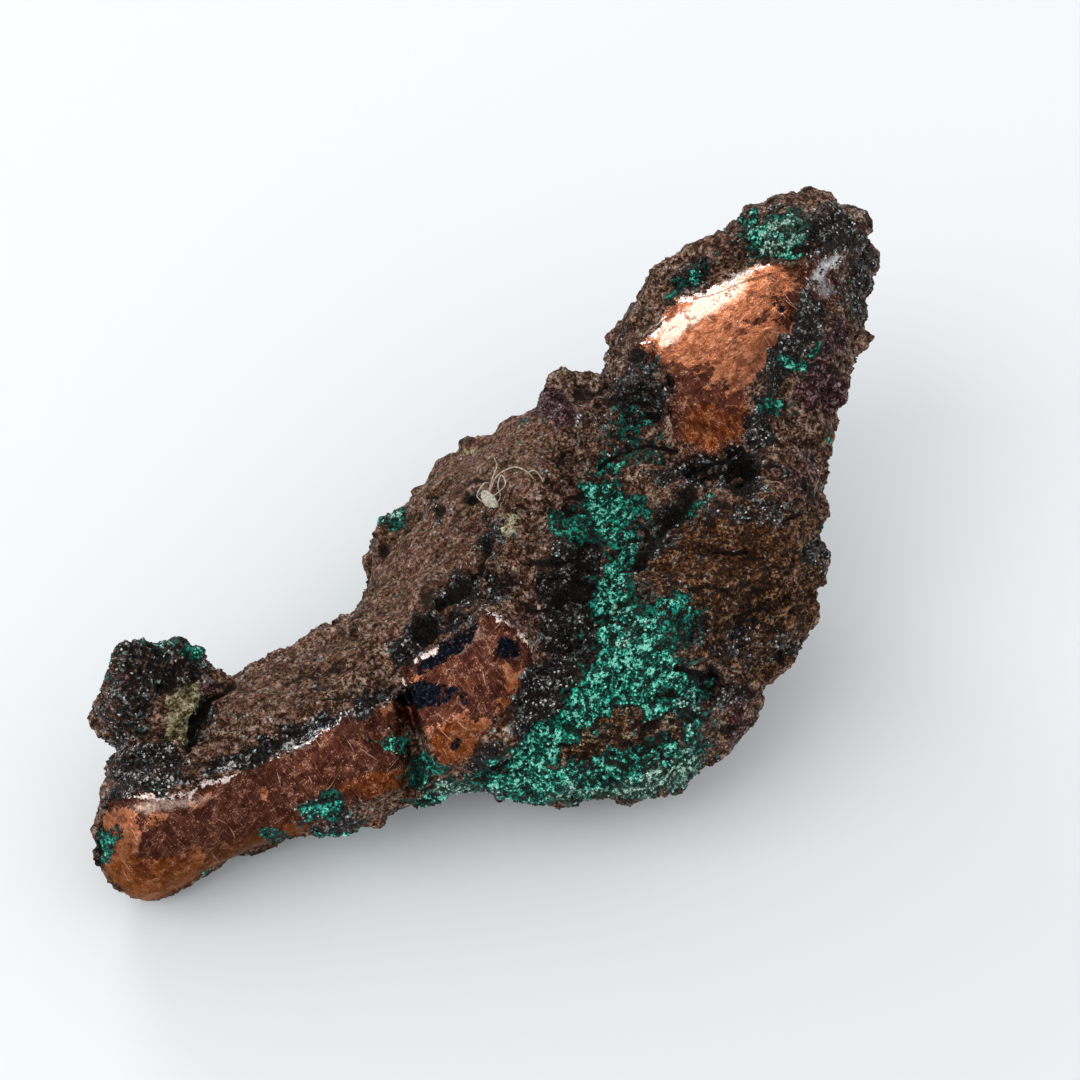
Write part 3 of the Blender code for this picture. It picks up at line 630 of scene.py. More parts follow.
class Wiring:
    # short ways to add and join shader nodes
    def __init__(self, owner):
        owner.use_nodes = True
        self.tree = owner.node_tree
        self.tree.nodes.clear()

    def add(self, kind, inputs, **settings):
        node = self.tree.nodes.new("ShaderNode" + kind)
        for name, value in settings.items():
            setattr(node, name, value)
        for name, value in inputs.items():
            socket = node.inputs[name]
            if isinstance(value, bpy.types.NodeSocket):
                self.tree.links.new(value, socket)
            else:
                socket.default_value = (*value, 1.0) if socket.type == "RGBA" else value
        return node.outputs

    def calc(self, operation, *values):
        return self.add("Math", dict(enumerate(values)), operation=operation)[0]

    def times(self, total, *values):
        for value in values:
            total = self.calc("MULTIPLY", total, value)
        return total

    def plus(self, total, *parts):  # adds each value times its weight
        for value, weight in parts:
            total = self.calc("MULTIPLY_ADD", value, weight, total)
        return total

    def off(self, value, middle=0.5):
        return self.calc("SUBTRACT", value, middle)

    def step(self, value, low, high):
        inputs = {"Value": value, "From Min": low, "From Max": high}
        return self.add("MapRange", inputs, interpolation_type="SMOOTHSTEP", clamp=True)["Result"]

    def mix(self, factor, first, second, blend="MIX"):
        inputs = {"Factor": factor, "A": first, "B": second}
        return self.add("Mix", inputs, data_type="RGBA", blend_type=blend, clamp_factor=True)["Result"]

    def blend(self, factor, first, second):
        inputs = {"Factor": factor, "A": first, "B": second}
        return self.add("Mix", inputs, data_type="FLOAT", clamp_factor=True)["Result"]

    def surface(self, inputs, height=None, bump=()):
        if bump:
            depth, strength = bump
            bump = {"Height": height, "Distance": depth * mm, "Strength": strength}
            inputs["Normal"] = self.add("Bump", bump)[0]
        self.add("OutputMaterial", {"Surface": self.add("BsdfPrincipled", inputs)[0]})


def turnedAxes(angle):
    c, s = math.cos(math.radians(angle)), math.sin(math.radians(angle))
    return toRight * c + toTop * s, toTop * c - toRight * s


class Grain(Wiring):
    # the fine pattern that the crust and the metal share
    def __init__(self, owner):
        super().__init__(owner)
        metres = self.add("TexCoord", {})["Object"]
        self.place = self.add("VectorMath", {0: metres, "Scale": 1 / mm}, operation="SCALE")[0]
        self.wide = self.noise(0.35, 4.0)
        self.middle = self.noise(1.3, 4.0)
        self.fine = self.noise(4.2, 3.0, 0.62)
        self.tiny = self.noise(10.0, 2.0, 0.6)
        self.grain, self.luck = self.cells(3.4)
        self.speck, self.speckLuck = self.cells(7.0)
        self.lumpy = self.off(self.middle)
        self.wobble = self.off(self.blend(0.5, self.fine, self.tiny))
        self.ragged = self.plus(self.times(self.wobble, 1.5), (self.off(self.luck[2]), 0.42))

    def read(self, name):
        return self.add("Attribute", {}, attribute_name=name)["Fac"]

    def noise(self, scale, detail, rough=0.55, place=None):
        place = self.place if place is None else place
        inputs = {"Vector": place, "Scale": scale, "Detail": detail, "Roughness": rough}
        return self.add("TexNoise", inputs)["Fac"]

    def cells(self, scale):  # the distance from each cell's middle, and three random values for it
        made = self.add("TexVoronoi", {"Vector": self.place, "Scale": scale})
        return made["Distance"], self.add("SeparateColor", {0: made["Color"]})

    def along(self, axis, size):
        inputs = {0: self.place, 1: tuple(axis * size)}
        return self.add("VectorMath", inputs, operation="DOT_PRODUCT")["Value"]

    def drawn(self, angle, length, across):  # noise drawn out along one way in the view
        ahead, aside = turnedAxes(angle)
        parts = {0: self.along(ahead, 1 / length), 1: self.along(aside, 1 / across),
                 2: self.along(toCamera, 1 / across)}
        return self.off(self.noise(1.0, 3.0, 0.62, self.add("CombineXYZ", parts)[0]))

    def ramp(self, factor, tone):
        colour = self.add("ValToRGB", {"Fac": factor})["Color"]
        bar = colour.node.color_ramp
        while len(bar.elements) < len(tones[tone]):
            bar.elements.new(0.5)
        for element, (place, shade) in zip(bar.elements, tones[tone]):
            element.position, element.color = place, (*shade, 1.0)
        return colour

    def patch(self, name, low, high, amount):
        return self.step(self.plus(self.read(name), (self.ragged, amount)), low, high)

    def loose(self, name, low, high, amount=1.0):
        # a patch whose border breaks up into lumps and single grains
        edge = self.plus(self.read(name), (self.lumpy, 1.5 * amount), (self.off(self.wide), 1.1 * amount),
                         (self.ragged, 0.8 * amount))
        return self.step(edge, low, high)

    def streaks(self, angle, across, seed, share, bend=0.45):
        # thin straight lines at an angle in the view, so many to a millimetre
        ahead, aside = turnedAxes(angle)
        line = self.plus(self.calc("ADD", self.along(aside, across), seed),
                         (self.noise(0.5 + 0.01 * seed, 1.0), bend))
        number = self.calc("FLOOR", line)
        luck = self.add("TexWhiteNoise", {"W": number}, noise_dimensions="1D")["Value"]
        length = self.calc("ADD", self.along(ahead, finishSetup["marksLong"]), seed)
        length = self.plus(length, (luck, 9.0))
        piece = self.add("CombineXYZ", {0: number, 1: self.calc("FLOOR", length)})[0]
        piece = self.add("TexWhiteNoise", {"Vector": piece}, noise_dimensions="2D")["Color"]
        shown, centre, most = self.add("SeparateColor", {0: piece})
        aside = self.calc("ABSOLUTE", self.off(self.calc("FRACT", line), self.plus(0.15, (centre, 0.7))))
        reach = self.calc("ABSOLUTE", self.off(self.calc("FRACT", length)))
        reach = self.step(reach, self.plus(0.16, (most, 0.3)), 0.05)
        width = self.times(reach, 0.025 * across)
        return self.times(self.step(aside, width, self.times(width, 0.35)),
                          self.step(shown, share, share * 0.5), self.step(reach, 0.0, 0.3))


def crustPattern(w):
    # the colour, roughness and height of the crust, and where it is pale
    calm, lift, green = w.read("calm"), w.read("lift"), w.read("green")
    flecks = w.times(w.step(w.speckLuck[0], 0.91, 0.95), w.step(w.speck, 0.42, 0.26))
    ledges = w.times(w.drawn(-6, 2.4, 0.42), w.plus(0.5, (w.read("rust"), 0.5)),
                     w.calc("SUBTRACT", 1.0, calm))
    # the tone follows the bumps, lighter where the fine noise and ledges raise them and darker in their pits:
    # painted light and shade of the relief
    tone = w.plus(w.times(w.step(w.fine, 0.32, 0.68), 0.36),
                  (w.step(w.tiny, 0.30, 0.70), 0.16), (w.luck[1], 0.14),
                  (w.step(w.middle, 0.32, 0.68), w.blend(calm, 0.34, 0.14)),
                  (calm, 0.13), (lift, 1.0), (w.times(w.drawn(40, 2.6, 0.32), calm), 0.55),
                  (ledges, 0.85), (w.step(w.fine, 0.42, 0.34), -0.28), (flecks, 0.38))
    even = w.step(tone, w.blend(calm, 0.17, 0.04), w.blend(calm, 0.80, 0.94))
    sharp = w.step(tone, 0.27, 0.76)
    # the green and the black stand in clumps with dark gaps, the green brightest where thickest
    clump = w.plus(w.noise(1.9, 4.0, 0.68), (lift, 0.25))
    clumps = w.step(clump, 0.43, 0.54)
    lush = w.step(w.plus(green, (w.off(w.noise(0.5, 4.0, 0.6)), 1.6)), 0.45, 0.95)
    mossy = w.times(w.plus(0.24, (sharp, 0.80)), w.plus(0.20, (clumps, 0.80)),
                    w.plus(0.42, (lush, 0.74)))
    # near-white specks painted into the dark crust's tone: painted glints
    paintedGlints = w.times(w.step(w.luck[0], 0.68, 0.72), w.step(w.grain, 0.40, 0.28),
                     w.step(w.fine, 0.32, 0.46), w.step(w.middle, 0.40, 0.52))
    toneAndPaintedGlints = w.plus(w.times(sharp, w.blend(clumps, 0.62, 1.0), 0.82),
                     (paintedGlints, w.blend(w.luck[2], 0.35, 0.95)))

    stain = w.noise(0.62, 5.0, 0.62)
    red = w.step(w.plus(w.calc("SUBTRACT", 1.04, stain), (w.wobble, 0.25)), 0.54, 0.62)
    # the pale patches of the crust are painted glints, made partly metallic
    dark, pale = w.loose("dark", 0.34, 0.62), w.patch("pale", 0.5, 0.66, 1.3)
    edge = w.plus(green, (w.off(clump), 2.2), (w.lumpy, 1.2), (w.ragged, 0.7))
    mossed, fringe = w.step(edge, 0.42, 0.54), w.step(edge, 0.10, 0.40)
    growth = w.mix(w.loose("chalk", 0.35, 0.6, 0.8), w.ramp(mossy, "green"),
                   w.ramp(mossy, "chalk"))
    # painted shade: near black in cracks, pits and low places
    paintedCreviceShade = w.step(w.plus(w.read("deep"), (w.wobble, 0.8)), 0.2, 0.8)
    colour = w.mix(w.times(w.step(w.wide, 0.44, 0.60), 0.5), w.ramp(even, "brown"),
                   w.ramp(even, "rust"))
    colour = w.mix(w.times(red, 0.65), colour, w.ramp(even, "red"))
    colour = w.mix(w.times(w.step(stain, 0.52, 0.60), w.blend(calm, 0.8, 0.25)), colour,
                   (0.42, 0.38, 0.35), "MULTIPLY")
    for share, shade in ((w.loose("rust", 0.35, 0.6, 0.7), w.ramp(even, "rust")),
                         (w.loose("plum", 0.38, 0.6, 0.9), w.ramp(sharp, "plum")),
                         (dark, w.ramp(toneAndPaintedGlints, "dark")),
                         (w.patch("ochre", 0.4, 0.55, 0.8), w.ramp(even, "ochre")),
                         (w.times(fringe, 0.7), w.ramp(toneAndPaintedGlints, "dark")),
                         (mossed, growth), (pale, w.ramp(sharp, "pale")),
                         (w.times(paintedCreviceShade, 0.93), (0.003, 0.0035, 0.004))):
        colour = w.mix(share, colour, shade)

    rough = w.blend(w.step(w.luck[1], 0.7, 0.95), 0.75, 0.42)
    rough = w.blend(dark, rough, w.blend(w.step(w.luck[0], 0.3, 0.6), 0.45, 0.20))
    rough = w.blend(flecks, w.blend(mossed, rough, finishSetup["mossRough"]), 0.25)
    height = w.plus(w.tiny, (w.step(w.grain, 0.75, 0.0), w.blend(calm, 0.7, 0.3)),
                    (w.step(w.speck, 0.75, 0.0), 0.4), (w.fine, 2.4), (ledges, 2.6),
                    (flecks, 0.3), (clumps, w.blend(mossed, 0.15, 0.6)))
    return colour, rough, height, pale


def makeNuggetFinish():
    material = bpy.data.materials.new("copper and crust")
    w = Grain(material)
    colour, crustRough, crustHeight, pale = crustPattern(w)

    # bare copper: brown film, brighter metal where it is worn through, and amber
    glow = w.plus(w.read("glow"), (w.off(w.noise(0.75, 5.0, 0.62)), 2.2), (w.lumpy, 0.6), (w.wobble, 0.5),
                  (w.read("tarnish"), -0.6))
    worn = w.step(glow, 0.42, 0.47)
    mottle = w.plus(w.times(w.step(w.middle, 0.3, 0.7), 0.40), (w.step(w.fine, 0.3, 0.7), 0.30),
                    (w.step(w.tiny, 0.3, 0.7), 0.30))
    metal = w.mix(worn, w.ramp(mottle, "film"), w.ramp(mottle, "copper"))
    amber = w.step(w.plus(w.read("amber"), (w.lumpy, 1.6), (w.wobble, 0.5)), 0.42, 0.54)
    metal = w.mix(w.times(amber, 0.85), metal, w.ramp(mottle, "amber"))
    patches = w.plus(w.noise(0.9, 5.0, 0.62), (w.wobble, 0.16))
    for low, high, share, tint in ((0.515, 0.53, 0.75, (0.62, 0.52, 0.56)),
                                   (0.44, 0.42, 0.6, (0.70, 0.56, 0.48))):
        metal = w.mix(w.times(w.step(patches, low, high), share), metal, tint, "MULTIPLY")
    border = w.step(w.calc("ABSOLUTE", w.off(patches, 0.512)), 0.010, 0.002)
    # pale colour painted where the lamp's highlight falls, over metal worn paler
    wearAndHighlight = w.step(w.plus(w.read("wearAndHighlight"), (w.wobble, 1.0)), 0.30, 0.75)
    # grey to near white metal where pale: partly pale grey metal, partly a painted glint
    paleSteelAndGlint = w.step(w.plus(w.read("pale"), (w.wobble, 1.6)), 0.35, 0.65)
    etched = w.step(w.plus(w.noise(0.9, 4.0, 0.7), (w.wobble, 0.9)), 0.60, 0.64)
    hatch = w.blend(w.step(w.noise(0.3, 1.0), 0.45, 0.55),
                    *(w.streaks(*way, 0.9) for way in finishSetup["hatching"]))
    scratches = 0.0
    for way in finishSetup["scratches"]:
        scratches = w.calc("MAXIMUM", scratches, w.streaks(*way))
    sparks = w.times(w.step(w.speckLuck[2], 0.86, 0.9), w.step(w.speck, 0.42, 0.2))
    pocks = w.step(w.plus(w.speck, (w.middle, 0.6)), 0.38, 0.32)
    night = w.patch("night", 0.44, 0.54, 0.9)
    for mark, share, shade in (
            (w.times(border, w.step(w.middle, 0.45, 0.6)), 0.6, (0.80, 0.46, 0.32)),
            (wearAndHighlight, 0.55, (0.92, 0.66, 0.54)),
            (paleSteelAndGlint, 0.95, w.ramp(w.times(w.read("pale"), w.blend(mottle, 0.6, 1.1)), "steel")),
            (etched, 0.7, (0.060, 0.018, 0.013)), (hatch, 0.34, (0.46, 0.20, 0.12)),
            (scratches, 0.6, (0.90, 0.58, 0.42)), (sparks, 0.45, (0.80, 0.42, 0.26)),
            (pocks, 0.75, (0.04, 0.012, 0.008)), (night, 1.0, w.ramp(w.step(w.fine, 0.3, 0.75), "night"))):
        metal = w.mix(w.times(mark, share), metal, shade)

    bare = w.read("bare")
    over = w.plus(w.calc("MAXIMUM", w.read("dark"), w.read("green")), (w.wobble, 0.9), (w.lumpy, 1.4))
    edge = w.plus(bare, (w.wobble, 1.1), (w.off(w.luck[0]), 0.24),
                  (w.times(w.step(bare, 1.3, 0.1), w.step(w.fine, 0.60, 0.68)), -1.2),
                  (w.step(over, 0.55, 0.68), -2.5))
    bare = w.step(edge, -0.01, 0.04)
    # a thin near-white line painted along chosen borders of the bare metal: a painted highlight where the
    # edge catches the light
    glintRimShare = w.step(w.plus(w.read("rim"), (w.off(w.noise(1.7, 4.0, 0.66)), 2.6)), 0.62, 1.2)
    paintedGlintLip = w.step(w.calc("SUBTRACT", w.times(glintRimShare, 0.62), edge), 0.0, 0.07)
    metal = w.mix(w.times(paintedGlintLip, 0.9), metal,
                  w.mix(w.step(w.fine, 0.42, 0.58), (0.96, 0.93, 0.92), (0.90, 0.62, 0.52)))
    metalRough = w.plus(finishSetup["metalRough"], (w.off(w.fine), 0.35), (worn, -0.06), (etched, 0.15))
    metalRough = w.blend(night, metalRough, finishSetup["nightRough"])
    metalHeight = w.plus(w.times(w.middle, 0.30), (pocks, -0.25), (etched, -0.12), (w.fine, 0.22),
                         (w.tiny, 0.10), (night, 0.25))
    w.surface({"Base Color": w.mix(bare, colour, metal),
               "Metallic": w.calc("MAXIMUM", bare, w.times(pale, finishSetup["paleMetal"])),
               "Roughness": w.blend(bare, crustRough, metalRough),
               "Specular IOR Level": finishSetup["specular"], "Specular Tint": finishSetup["copperTint"]},
              w.blend(bare, w.calc("ADD", crustHeight, 0.6), metalHeight), finishSetup["bump"])
    return material


def makeCrustFinish():
    material = bpy.data.materials.new("crust grains")
    w = Grain(material)
    colour, rough, height, pale = crustPattern(w)
    w.surface({"Base Color": colour, "Roughness": rough, "Metallic": w.times(pale, finishSetup["paleMetal"]),
               "Specular IOR Level": finishSetup["specular"]}, height, finishSetup["grainBump"])
    return material


nugget.data.materials.clear()
nugget.data.materials.append(makeNuggetFinish())
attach(nugget, "root")
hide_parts("copper_nugget")
print("nugget finished")

# loose and half-sunk grains over the crust, one piece for each kind

grainSetup = {
    "malachite_grains": {"kinds": ["green"], "size": (0.14, 0.38), "spacing": 0.31, "most": 17000,
                         "proud": 0.04, "flat": 0.7, "tip": 1.0, "lift": (-0.12, 0.26)},
    "brown_grains": {"kinds": ["brown", "rust", "ochre"], "size": (0.12, 0.34), "spacing": 0.44,
                     "most": 16000, "proud": -0.12, "flat": 0.42, "tip": 0.55, "lift": (-0.12, 0.16)},
    "dark_grains": {"kinds": ["dark", "plum"], "size": (0.16, 0.48), "spacing": 0.40, "most": 16000,
                    "proud": -0.04, "flat": 0.5, "tip": 1.0, "lift": (-0.12, 0.22)},
    # white flecks where the crust is pale: painted glints
    "pale_flecks": {"kinds": ["pale"], "size": (0.12, 0.30), "spacing": 0.30, "most": 5000,
                    "proud": 0.05, "flat": 0.5, "tip": 1.2, "lift": (0.0, 0.3)},
}

pointsPerSquareMm = 60  # places tried over the whole crust


def scatterPoints(thing):
    # random points over the surface, spread by area, with the finish there
    mesh = thing.data
    points = readPoints(mesh) / mm
    corners = np.empty(len(mesh.polygons) * 3, np.int32)
    mesh.polygons.foreach_get("vertices", corners)
    corners = corners.reshape(-1, 3)
    a, b, c = points[corners[:, 0]], points[corners[:, 1]], points[corners[:, 2]]
    across = np.cross(b - a, c - a)
    area = np.linalg.norm(across, axis=1) / 2
    count = int(area.sum() * pointsPerSquareMm)
    chosen = np.searchsorted(np.cumsum(area) / area.sum(), chance.random(count))
    chosen = np.minimum(chosen, len(area) - 1)
    r1, r2 = np.sqrt(chance.random(count)), chance.random(count)
    shares = np.column_stack([1 - r1, r1 * (1 - r2), r1 * r2])
    places = (points[corners[chosen]] * shares[:, :, None]).sum(axis=1)
    normals = across[chosen] / (2 * area[chosen][:, None] + 1e-12)
    fields = {}
    for name in crustFields + metalFields:
        values = np.empty(len(mesh.vertices), np.float32)
        mesh.attributes[name].data.foreach_get("value", values)
        fields[name] = (values[corners[chosen]] * shares).sum(axis=1)
    print("crust area", round(float(area.sum())), "square mm")
    return places, normals, fields


def chooseTones(fields, count):
    luck = chance.random((count, 7))
    names = np.full(count, "brown", dtype=object)
    # the field of each finish has to pass a random value times the first number, plus the second
    kinds = {"rust": (0.8, 0.1), "plum": (0.8, 0.12), "dark": (0.8, 0.1), "ochre": (0.6, 0.2),
             "green": (0.85, 0.08), "pale": (0.8, 0.2)}
    for column, (name, (spread, least)) in enumerate(kinds.items()):
        names[fields[name] > luck[:, column] * spread + least] = name
    return names


def makeGrains(name, places, normals, fields, picked, brightness, material):
    setup = grainSetup[name]
    mine = np.isin(picked, setup["kinds"])
    cells = np.floor(places / setup["spacing"]).astype(np.int64)
    keys = (cells[:, 0] * 73856093) ^ (cells[:, 1] * 19349663) ^ (cells[:, 2] * 83492791)
    first = np.zeros(len(places), bool)
    where = np.nonzero(mine)[0]
    first[where[np.unique(keys[where], return_index=True)[1]]] = True
    where = np.nonzero(first)[0]
    available = len(where)
    if len(where) > setup["most"]:
        where = np.sort(chance.permutation(where)[:setup["most"]])
    count = len(where)
    spot, normal = places[where], normals[where]
    least, most = setup["size"]
    size = least + (most - least) * chance.random(count) ** 1.6
    # an uneven eight-sided crystal, turned at random
    shape = np.array([(1, 0, 0), (-1, 0, 0), (0, 1, 0), (0, -1, 0), (0, 0, 1), (0, 0, -1)], float)
    corners = np.repeat(shape[None], count, axis=0) * (0.62 + 0.5 * chance.random((count, 6, 1)))
    corners += (chance.random((count, 6, 3)) - 0.5) * 0.35
    corners *= (size[:, None] * (0.42 + 0.2 * chance.random((count, 3))))[:, None, :]
    corners[:, :, 2] *= setup["flat"]
    # each lies along the surface, tipped a little, with its own heading
    up = normal + (chance.random((count, 3)) - 0.5) * setup["tip"]
    up /= np.linalg.norm(up, axis=1)[:, None]
    side = np.cross(up, chance.normal(size=(count, 3)))
    side /= np.linalg.norm(side, axis=1)[:, None]
    spin = np.stack([side, np.cross(up, side), up], axis=1)
    corners = np.einsum("nij,nki->nkj", spin, corners)
    proud = (setup["proud"] * chance.random(count) * size * 2)[:, None]
    corners += (spot + normal * proud)[:, None, :]
    lowest, highest = (np.array(corner) / mm for corner in cadBox)
    corners = np.clip(corners, lowest + 0.01, highest - 0.01)
    sides = np.array([(0, 2, 4), (2, 1, 4), (1, 3, 4), (3, 0, 4), (2, 0, 5), (1, 2, 5), (3, 1, 5), (0, 3, 5)])
    faces = (sides[None] + np.arange(count)[:, None, None] * 6).reshape(-1, 3)
    mesh = bpy.data.meshes.new(name)
    mesh.from_pydata(corners.reshape(-1, 3) * mm, [], faces.tolist())
    mesh.shade_flat()
    low, high = setup["lift"]
    writeValues(mesh, "lift", np.repeat(low + (high - low) * brightness[where], 6))
    for field in crustFields:
        values = fields[field][where]
        # the grains take half of the painted shade
        if field == "deep":
            values = values * 0.5
        writeValues(mesh, field, np.repeat(values, 6))

    # a map with a small square for each pair of sides
    across = math.ceil(math.sqrt(count * 4))
    square = np.arange(count * 4)
    low = np.column_stack([square % across, square // across]) / across
    pair = np.array([[(0.12, 0.12), (0.78, 0.12), (0.12, 0.78)], [(0.88, 0.88), (0.22, 0.88), (0.88, 0.22)]])
    spread = (low[:, None, None, :] + pair[None] / across).reshape(-1, 2)
    mesh.uv_layers.new(name="OFBake").uv.foreach_set("vector", spread.astype(np.float32).ravel())

    thing = placeThing(name, mesh)
    mesh.materials.append(material)
    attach(thing, "root")
    print(name, count, "of", available)


def makeAllGrains():
    places, normals, fields = scatterPoints(nugget)
    picked = chooseTones(fields, len(places))
    onMetal = fields["bare"] + (chance.random(len(places)) - 0.5) * 0.3 > 0.05
    covered = np.maximum(fields["green"], fields["dark"]) > 0.6
    underside = (normals[:, 2] < -0.5) & (chance.random(len(places)) < 0.6)
    sparse = (fields["calm"] > 0.3) & ~covered & (chance.random(len(places)) < 0.75)
    gone = (onMetal & ~covered) | underside | (places[:, 2] < 0.3) | (fields["deep"] > 0.5) | sparse
    picked[gone] = ""
    slow = cloud(places, 1.1, 2, 31.0) * 0.30 + cloud(places, 3.0, 2, 35.0) * 0.15
    brightness = np.clip(chance.random(len(places)) ** 1.3 * 0.95 + slow + 0.02, 0, 1)
    material = makeCrustFinish()
    for name in grainSetup:
        makeGrains(name, places, normals, fields, picked, brightness, material)


makeAllGrains()
print("grains done")

# a flake of lint caught on the slope, with its fibres

lintSetup = {
    "flake": (489, 500),  # where it lies, in the view
    "heading": -56,
    "halfLength": 1.02,
    "halfWidth": 0.50,
    "thickness": 0.05,
    "clear": 0.22,  # how far it stands off the crust
    "fibreWidth": 0.046,
    "rough": 0.85,
    "bump": (0.05, 1.0),  # depth in mm, strength
    # places in the view, and the height above the crust in mm
    "fibres": [
        [(486, 499, 0.2), (491, 488, 0.4), (496, 477, 0.7), (498, 469, 0.8), (497, 460, 1.0)],
        [(489, 494, 0.3), (497, 481, 0.6), (504, 474, 0.8), (516, 472, 0.7), (527, 474, 0.5),
         (533, 479, 0.3)],
        [(492, 497, 0.3), (503, 492, 0.5), (508, 484, 0.7), (503, 479, 0.7), (499, 485, 0.4), (501, 496, 0.3),
         (498, 503, 0.15)],
        [(527, 474, 0.5), (535, 471, 0.6), (541, 476, 0.4), (543, 482, 0.2)],
        [(485, 505, 0.2), (480, 496, 0.4), (484, 487, 0.6), (492, 484, 0.5)],
    ],
}


def makeLint():
    setup = lintSetup
    points = [tuple(point) for point in readPoints(nugget.data) / mm]
    surface = BVHTree.FromPolygons(points, [tuple(face.vertices) for face in nugget.data.polygons])

    def onCrust(x, y, high):
        middle = cameraSetup["view"] / 2
        ahead = toRight * (x - middle) - toTop * (y - middle) - toCamera * focal
        place, normal = surface.ray_cast(Vector(cameraSpot), Vector(ahead).normalized())[:2]
        return place + (normal + Vector(toCamera)).normalized() * high

    shape = bmesh.new()
    # the flake: a thin uneven scrap
    middle = onCrust(*setup["flake"], setup["clear"])
    turn = math.radians(setup["heading"])
    alongView = Vector(toRight * math.cos(turn) + toTop * math.sin(turn))
    acrossView = Vector(toTop * math.cos(turn) - toRight * math.sin(turn))
    rings, sides = 7, 26
    for side in (1, -1):
        corners = []
        for ring in range(1, rings + 1):
            row = []
            for k in range(sides):
                angle = 2 * math.pi * k / sides
                edge = 1.0 + 0.16 * noise.noise(Vector((math.cos(angle) * 2.2, math.sin(angle) * 2.2, 4.0)))
                reach = ring / rings * edge * (1.0 + 0.18 * math.cos(angle))
                place = middle + alongView * (math.cos(angle) * setup["halfLength"] * reach)
                place += acrossView * (math.sin(angle) * setup["halfWidth"] * reach)
                lift = 0.14 * noise.noise(place * 1.9) + 0.05 * noise.noise(place * 7.0)
                thick = setup["thickness"] * (1.0 - (ring / rings) ** 3)
                row.append(shape.verts.new((place + Vector(toCamera) * (lift + side * thick)) * mm))
            corners.append(row)
        centre = shape.verts.new((middle + Vector(toCamera) * side * setup["thickness"]) * mm)
        for k in range(sides):
            after = (k + 1) % sides
            fan = [centre, corners[0][k], corners[0][after]]
            shape.faces.new(fan[::side])
            for inner, outer in zip(corners, corners[1:]):
                quad = [inner[k], outer[k], outer[after], inner[after]]
                shape.faces.new(quad[::side])
    bmesh.ops.remove_doubles(shape, verts=shape.verts[:], dist=1e-7)

    # the fibres: thin tubes along smooth curves
    for line in setup["fibres"]:
        knots = [onCrust(*knot) for knot in line]
        knots = [knots[0] * 2 - knots[1]] + knots + [knots[-1] * 2 - knots[-2]]
        path = []
        for before, start, end, after in zip(knots, knots[1:], knots[2:], knots[3:]):
            for k in range(8):
                t = k / 8
                path.append(0.5 * (start * 2 + (end - before) * t
                                   + (before * 2 - start * 5 + end * 4 - after) * t ** 2
                                   + (start * 3 - before - end * 3 + after) * t ** 3))
        path.append(knots[-2])
        before = None
        for i, place in enumerate(path):
            ahead = (path[min(i + 1, len(path) - 1)] - path[max(i - 1, 0)]).normalized()
            side = ahead.cross(Vector(toCamera)).normalized()
            top = side.cross(ahead)
            width = setup["fibreWidth"] * (0.55 + 0.45 * math.sin(math.pi * (i + 1) / (len(path) + 1)))
            ring = [shape.verts.new((place + (side * math.cos(a) + top * math.sin(a)) * width) * mm)
                    for a in (math.pi * k / 3 for k in range(6))]
            if before is None:
                shape.faces.new(ring)
            else:
                for k in range(6):
                    shape.faces.new([before[k], ring[k], ring[(k + 1) % 6], before[(k + 1) % 6]])
            before = ring
        shape.faces.new(before[::-1])
    bmesh.ops.recalc_face_normals(shape, faces=shape.faces[:])
    mesh = bpy.data.meshes.new("lint_flake")
    shape.to_mesh(mesh)
    shape.free()
    mesh.shade_smooth()
    lint = placeThing("lint_flake", mesh)

    material = bpy.data.materials.new("grey lint")
    w = Grain(material)
    fluff = w.plus(w.times(w.step(w.fine, 0.3, 0.7), 0.4), (w.step(w.tiny, 0.3, 0.7), 0.6))
    w.surface({"Base Color": w.ramp(fluff, "lint"), "Roughness": setup["rough"]}, fluff, setup["bump"])
    mesh.materials.append(material)
    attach(lint, "root")
    print("lint done")


makeLint()

# floor and light

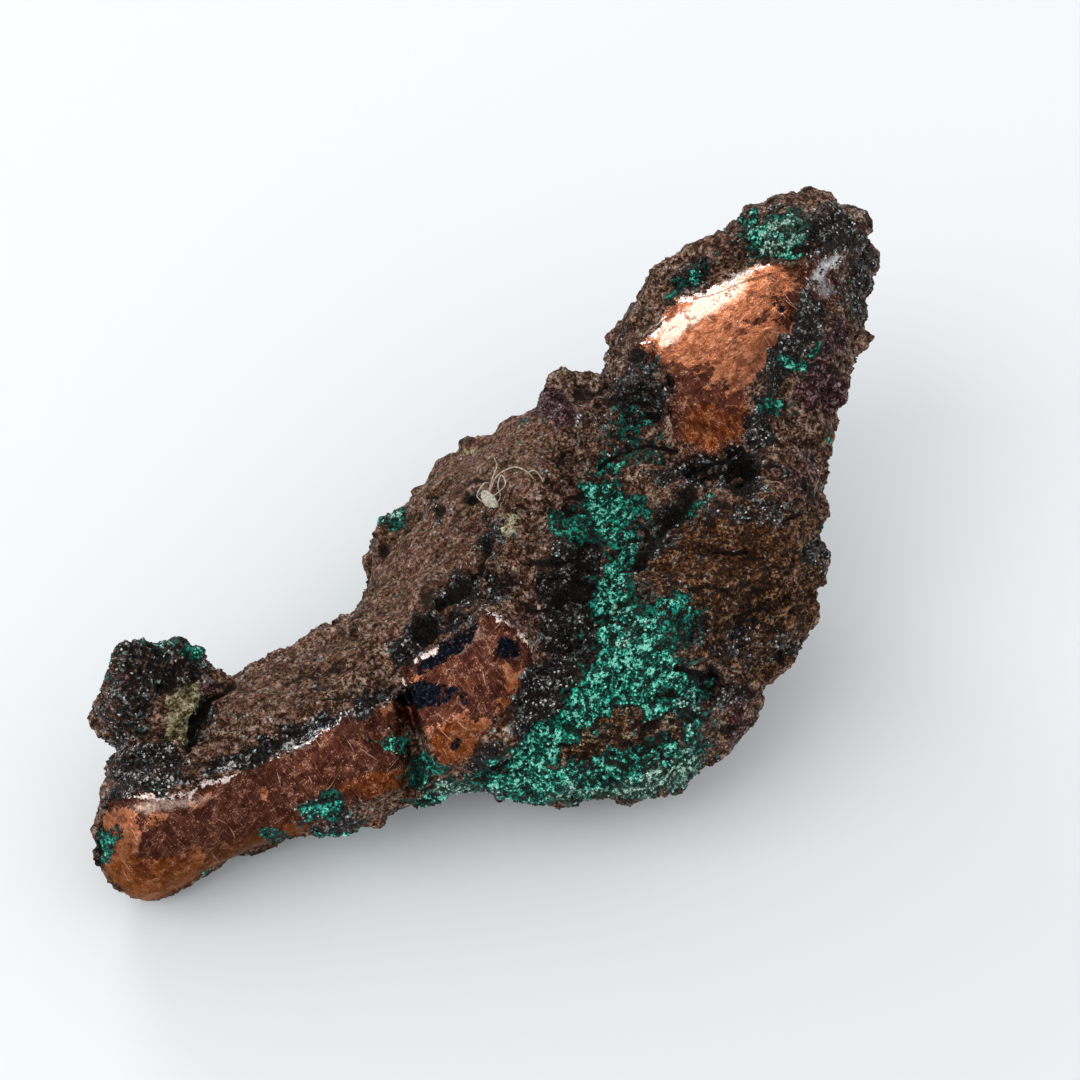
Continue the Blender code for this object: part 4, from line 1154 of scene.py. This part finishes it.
studioSetup = {
    "floor": (0.88, 0.892, 0.905),
    "wallColour": (0.955, 0.98, 1.0),
    "wallBrightness": 0.79,
    "windowFrom": (0.10, 0.93, 0.36),  # the room is brighter on this side
    "windowBrightness": 0.25,
    "roomAt": (-0.25, -0.80, 0.55),  # and a pale wall stands behind the camera
    "roomShade": -0.35,
    "ceilingAt": (-0.10, 0.10, 0.99),
    "ceilingShade": 0.35,
    # lamps: the direction they stand in, distance, width, height, brightness
    "softbox": ((-0.64, 0.22, 0.73), 0.80, 0.66, 0.60, 1.7),
    "strip": ((0.32, 0.85, 0.41), 0.80, 0.30, 0.14, 10.5),
}


def makeLamp(name):
    away, distance, wide, high, bright = studioSetup[name]
    data = bpy.data.lights.new(name, "AREA")
    data.shape, data.size, data.size_y = "RECTANGLE", wide, high
    data.energy = bright * math.pi * wide * high
    lamp = placeThing(name, data)
    away = Vector(away).normalized()
    lamp.location = away * distance
    lamp.rotation_mode = "QUATERNION"
    lamp.rotation_quaternion = away.to_track_quat("Z", "Y")


def makeStudio():
    mesh = bpy.data.meshes.new("floor")
    mesh.from_pydata([(-3, -3, 0), (3, -3, 0), (3, 3, 0), (-3, 3, 0)], [], [(0, 1, 2, 3)])
    floor = placeThing("floor", mesh)
    paper = bpy.data.materials.new("pale paper")
    Wiring(paper).surface({"Base Color": studioSetup["floor"], "Roughness": 0.9, "Specular IOR Level": 0.1})
    mesh.materials.append(paper)

    world = bpy.data.worlds.new("studio")
    w = Wiring(world)
    ahead = w.add("TexCoord", {})["Generated"]

    def towards(name, low, high):  # 1 where the room is seen that way
        way = tuple(Vector(studioSetup[name]).normalized())
        return w.step(w.add("VectorMath", {0: ahead, 1: way}, operation="DOT_PRODUCT")["Value"], low, high)

    bright = w.plus(studioSetup["wallBrightness"],
                    (towards("windowFrom", 0.85, 0.99), studioSetup["windowBrightness"]))
    for name, low, high in (("ceiling", 0.72, 0.96), ("room", 0.3, 0.9)):
        bright = w.times(bright, w.plus(1.0, (towards(name + "At", low, high), -studioSetup[name + "Shade"])))
    sky = w.add("Background", {"Color": studioSetup["wallColour"], "Strength": bright})[0]
    w.add("OutputWorld", {"Surface": sky})
    bpy.context.scene.world = world
    makeLamp("softbox")
    makeLamp("strip")
    bpy.context.scene.view_settings.view_transform = "Standard"


makeStudio()
print("studio done")
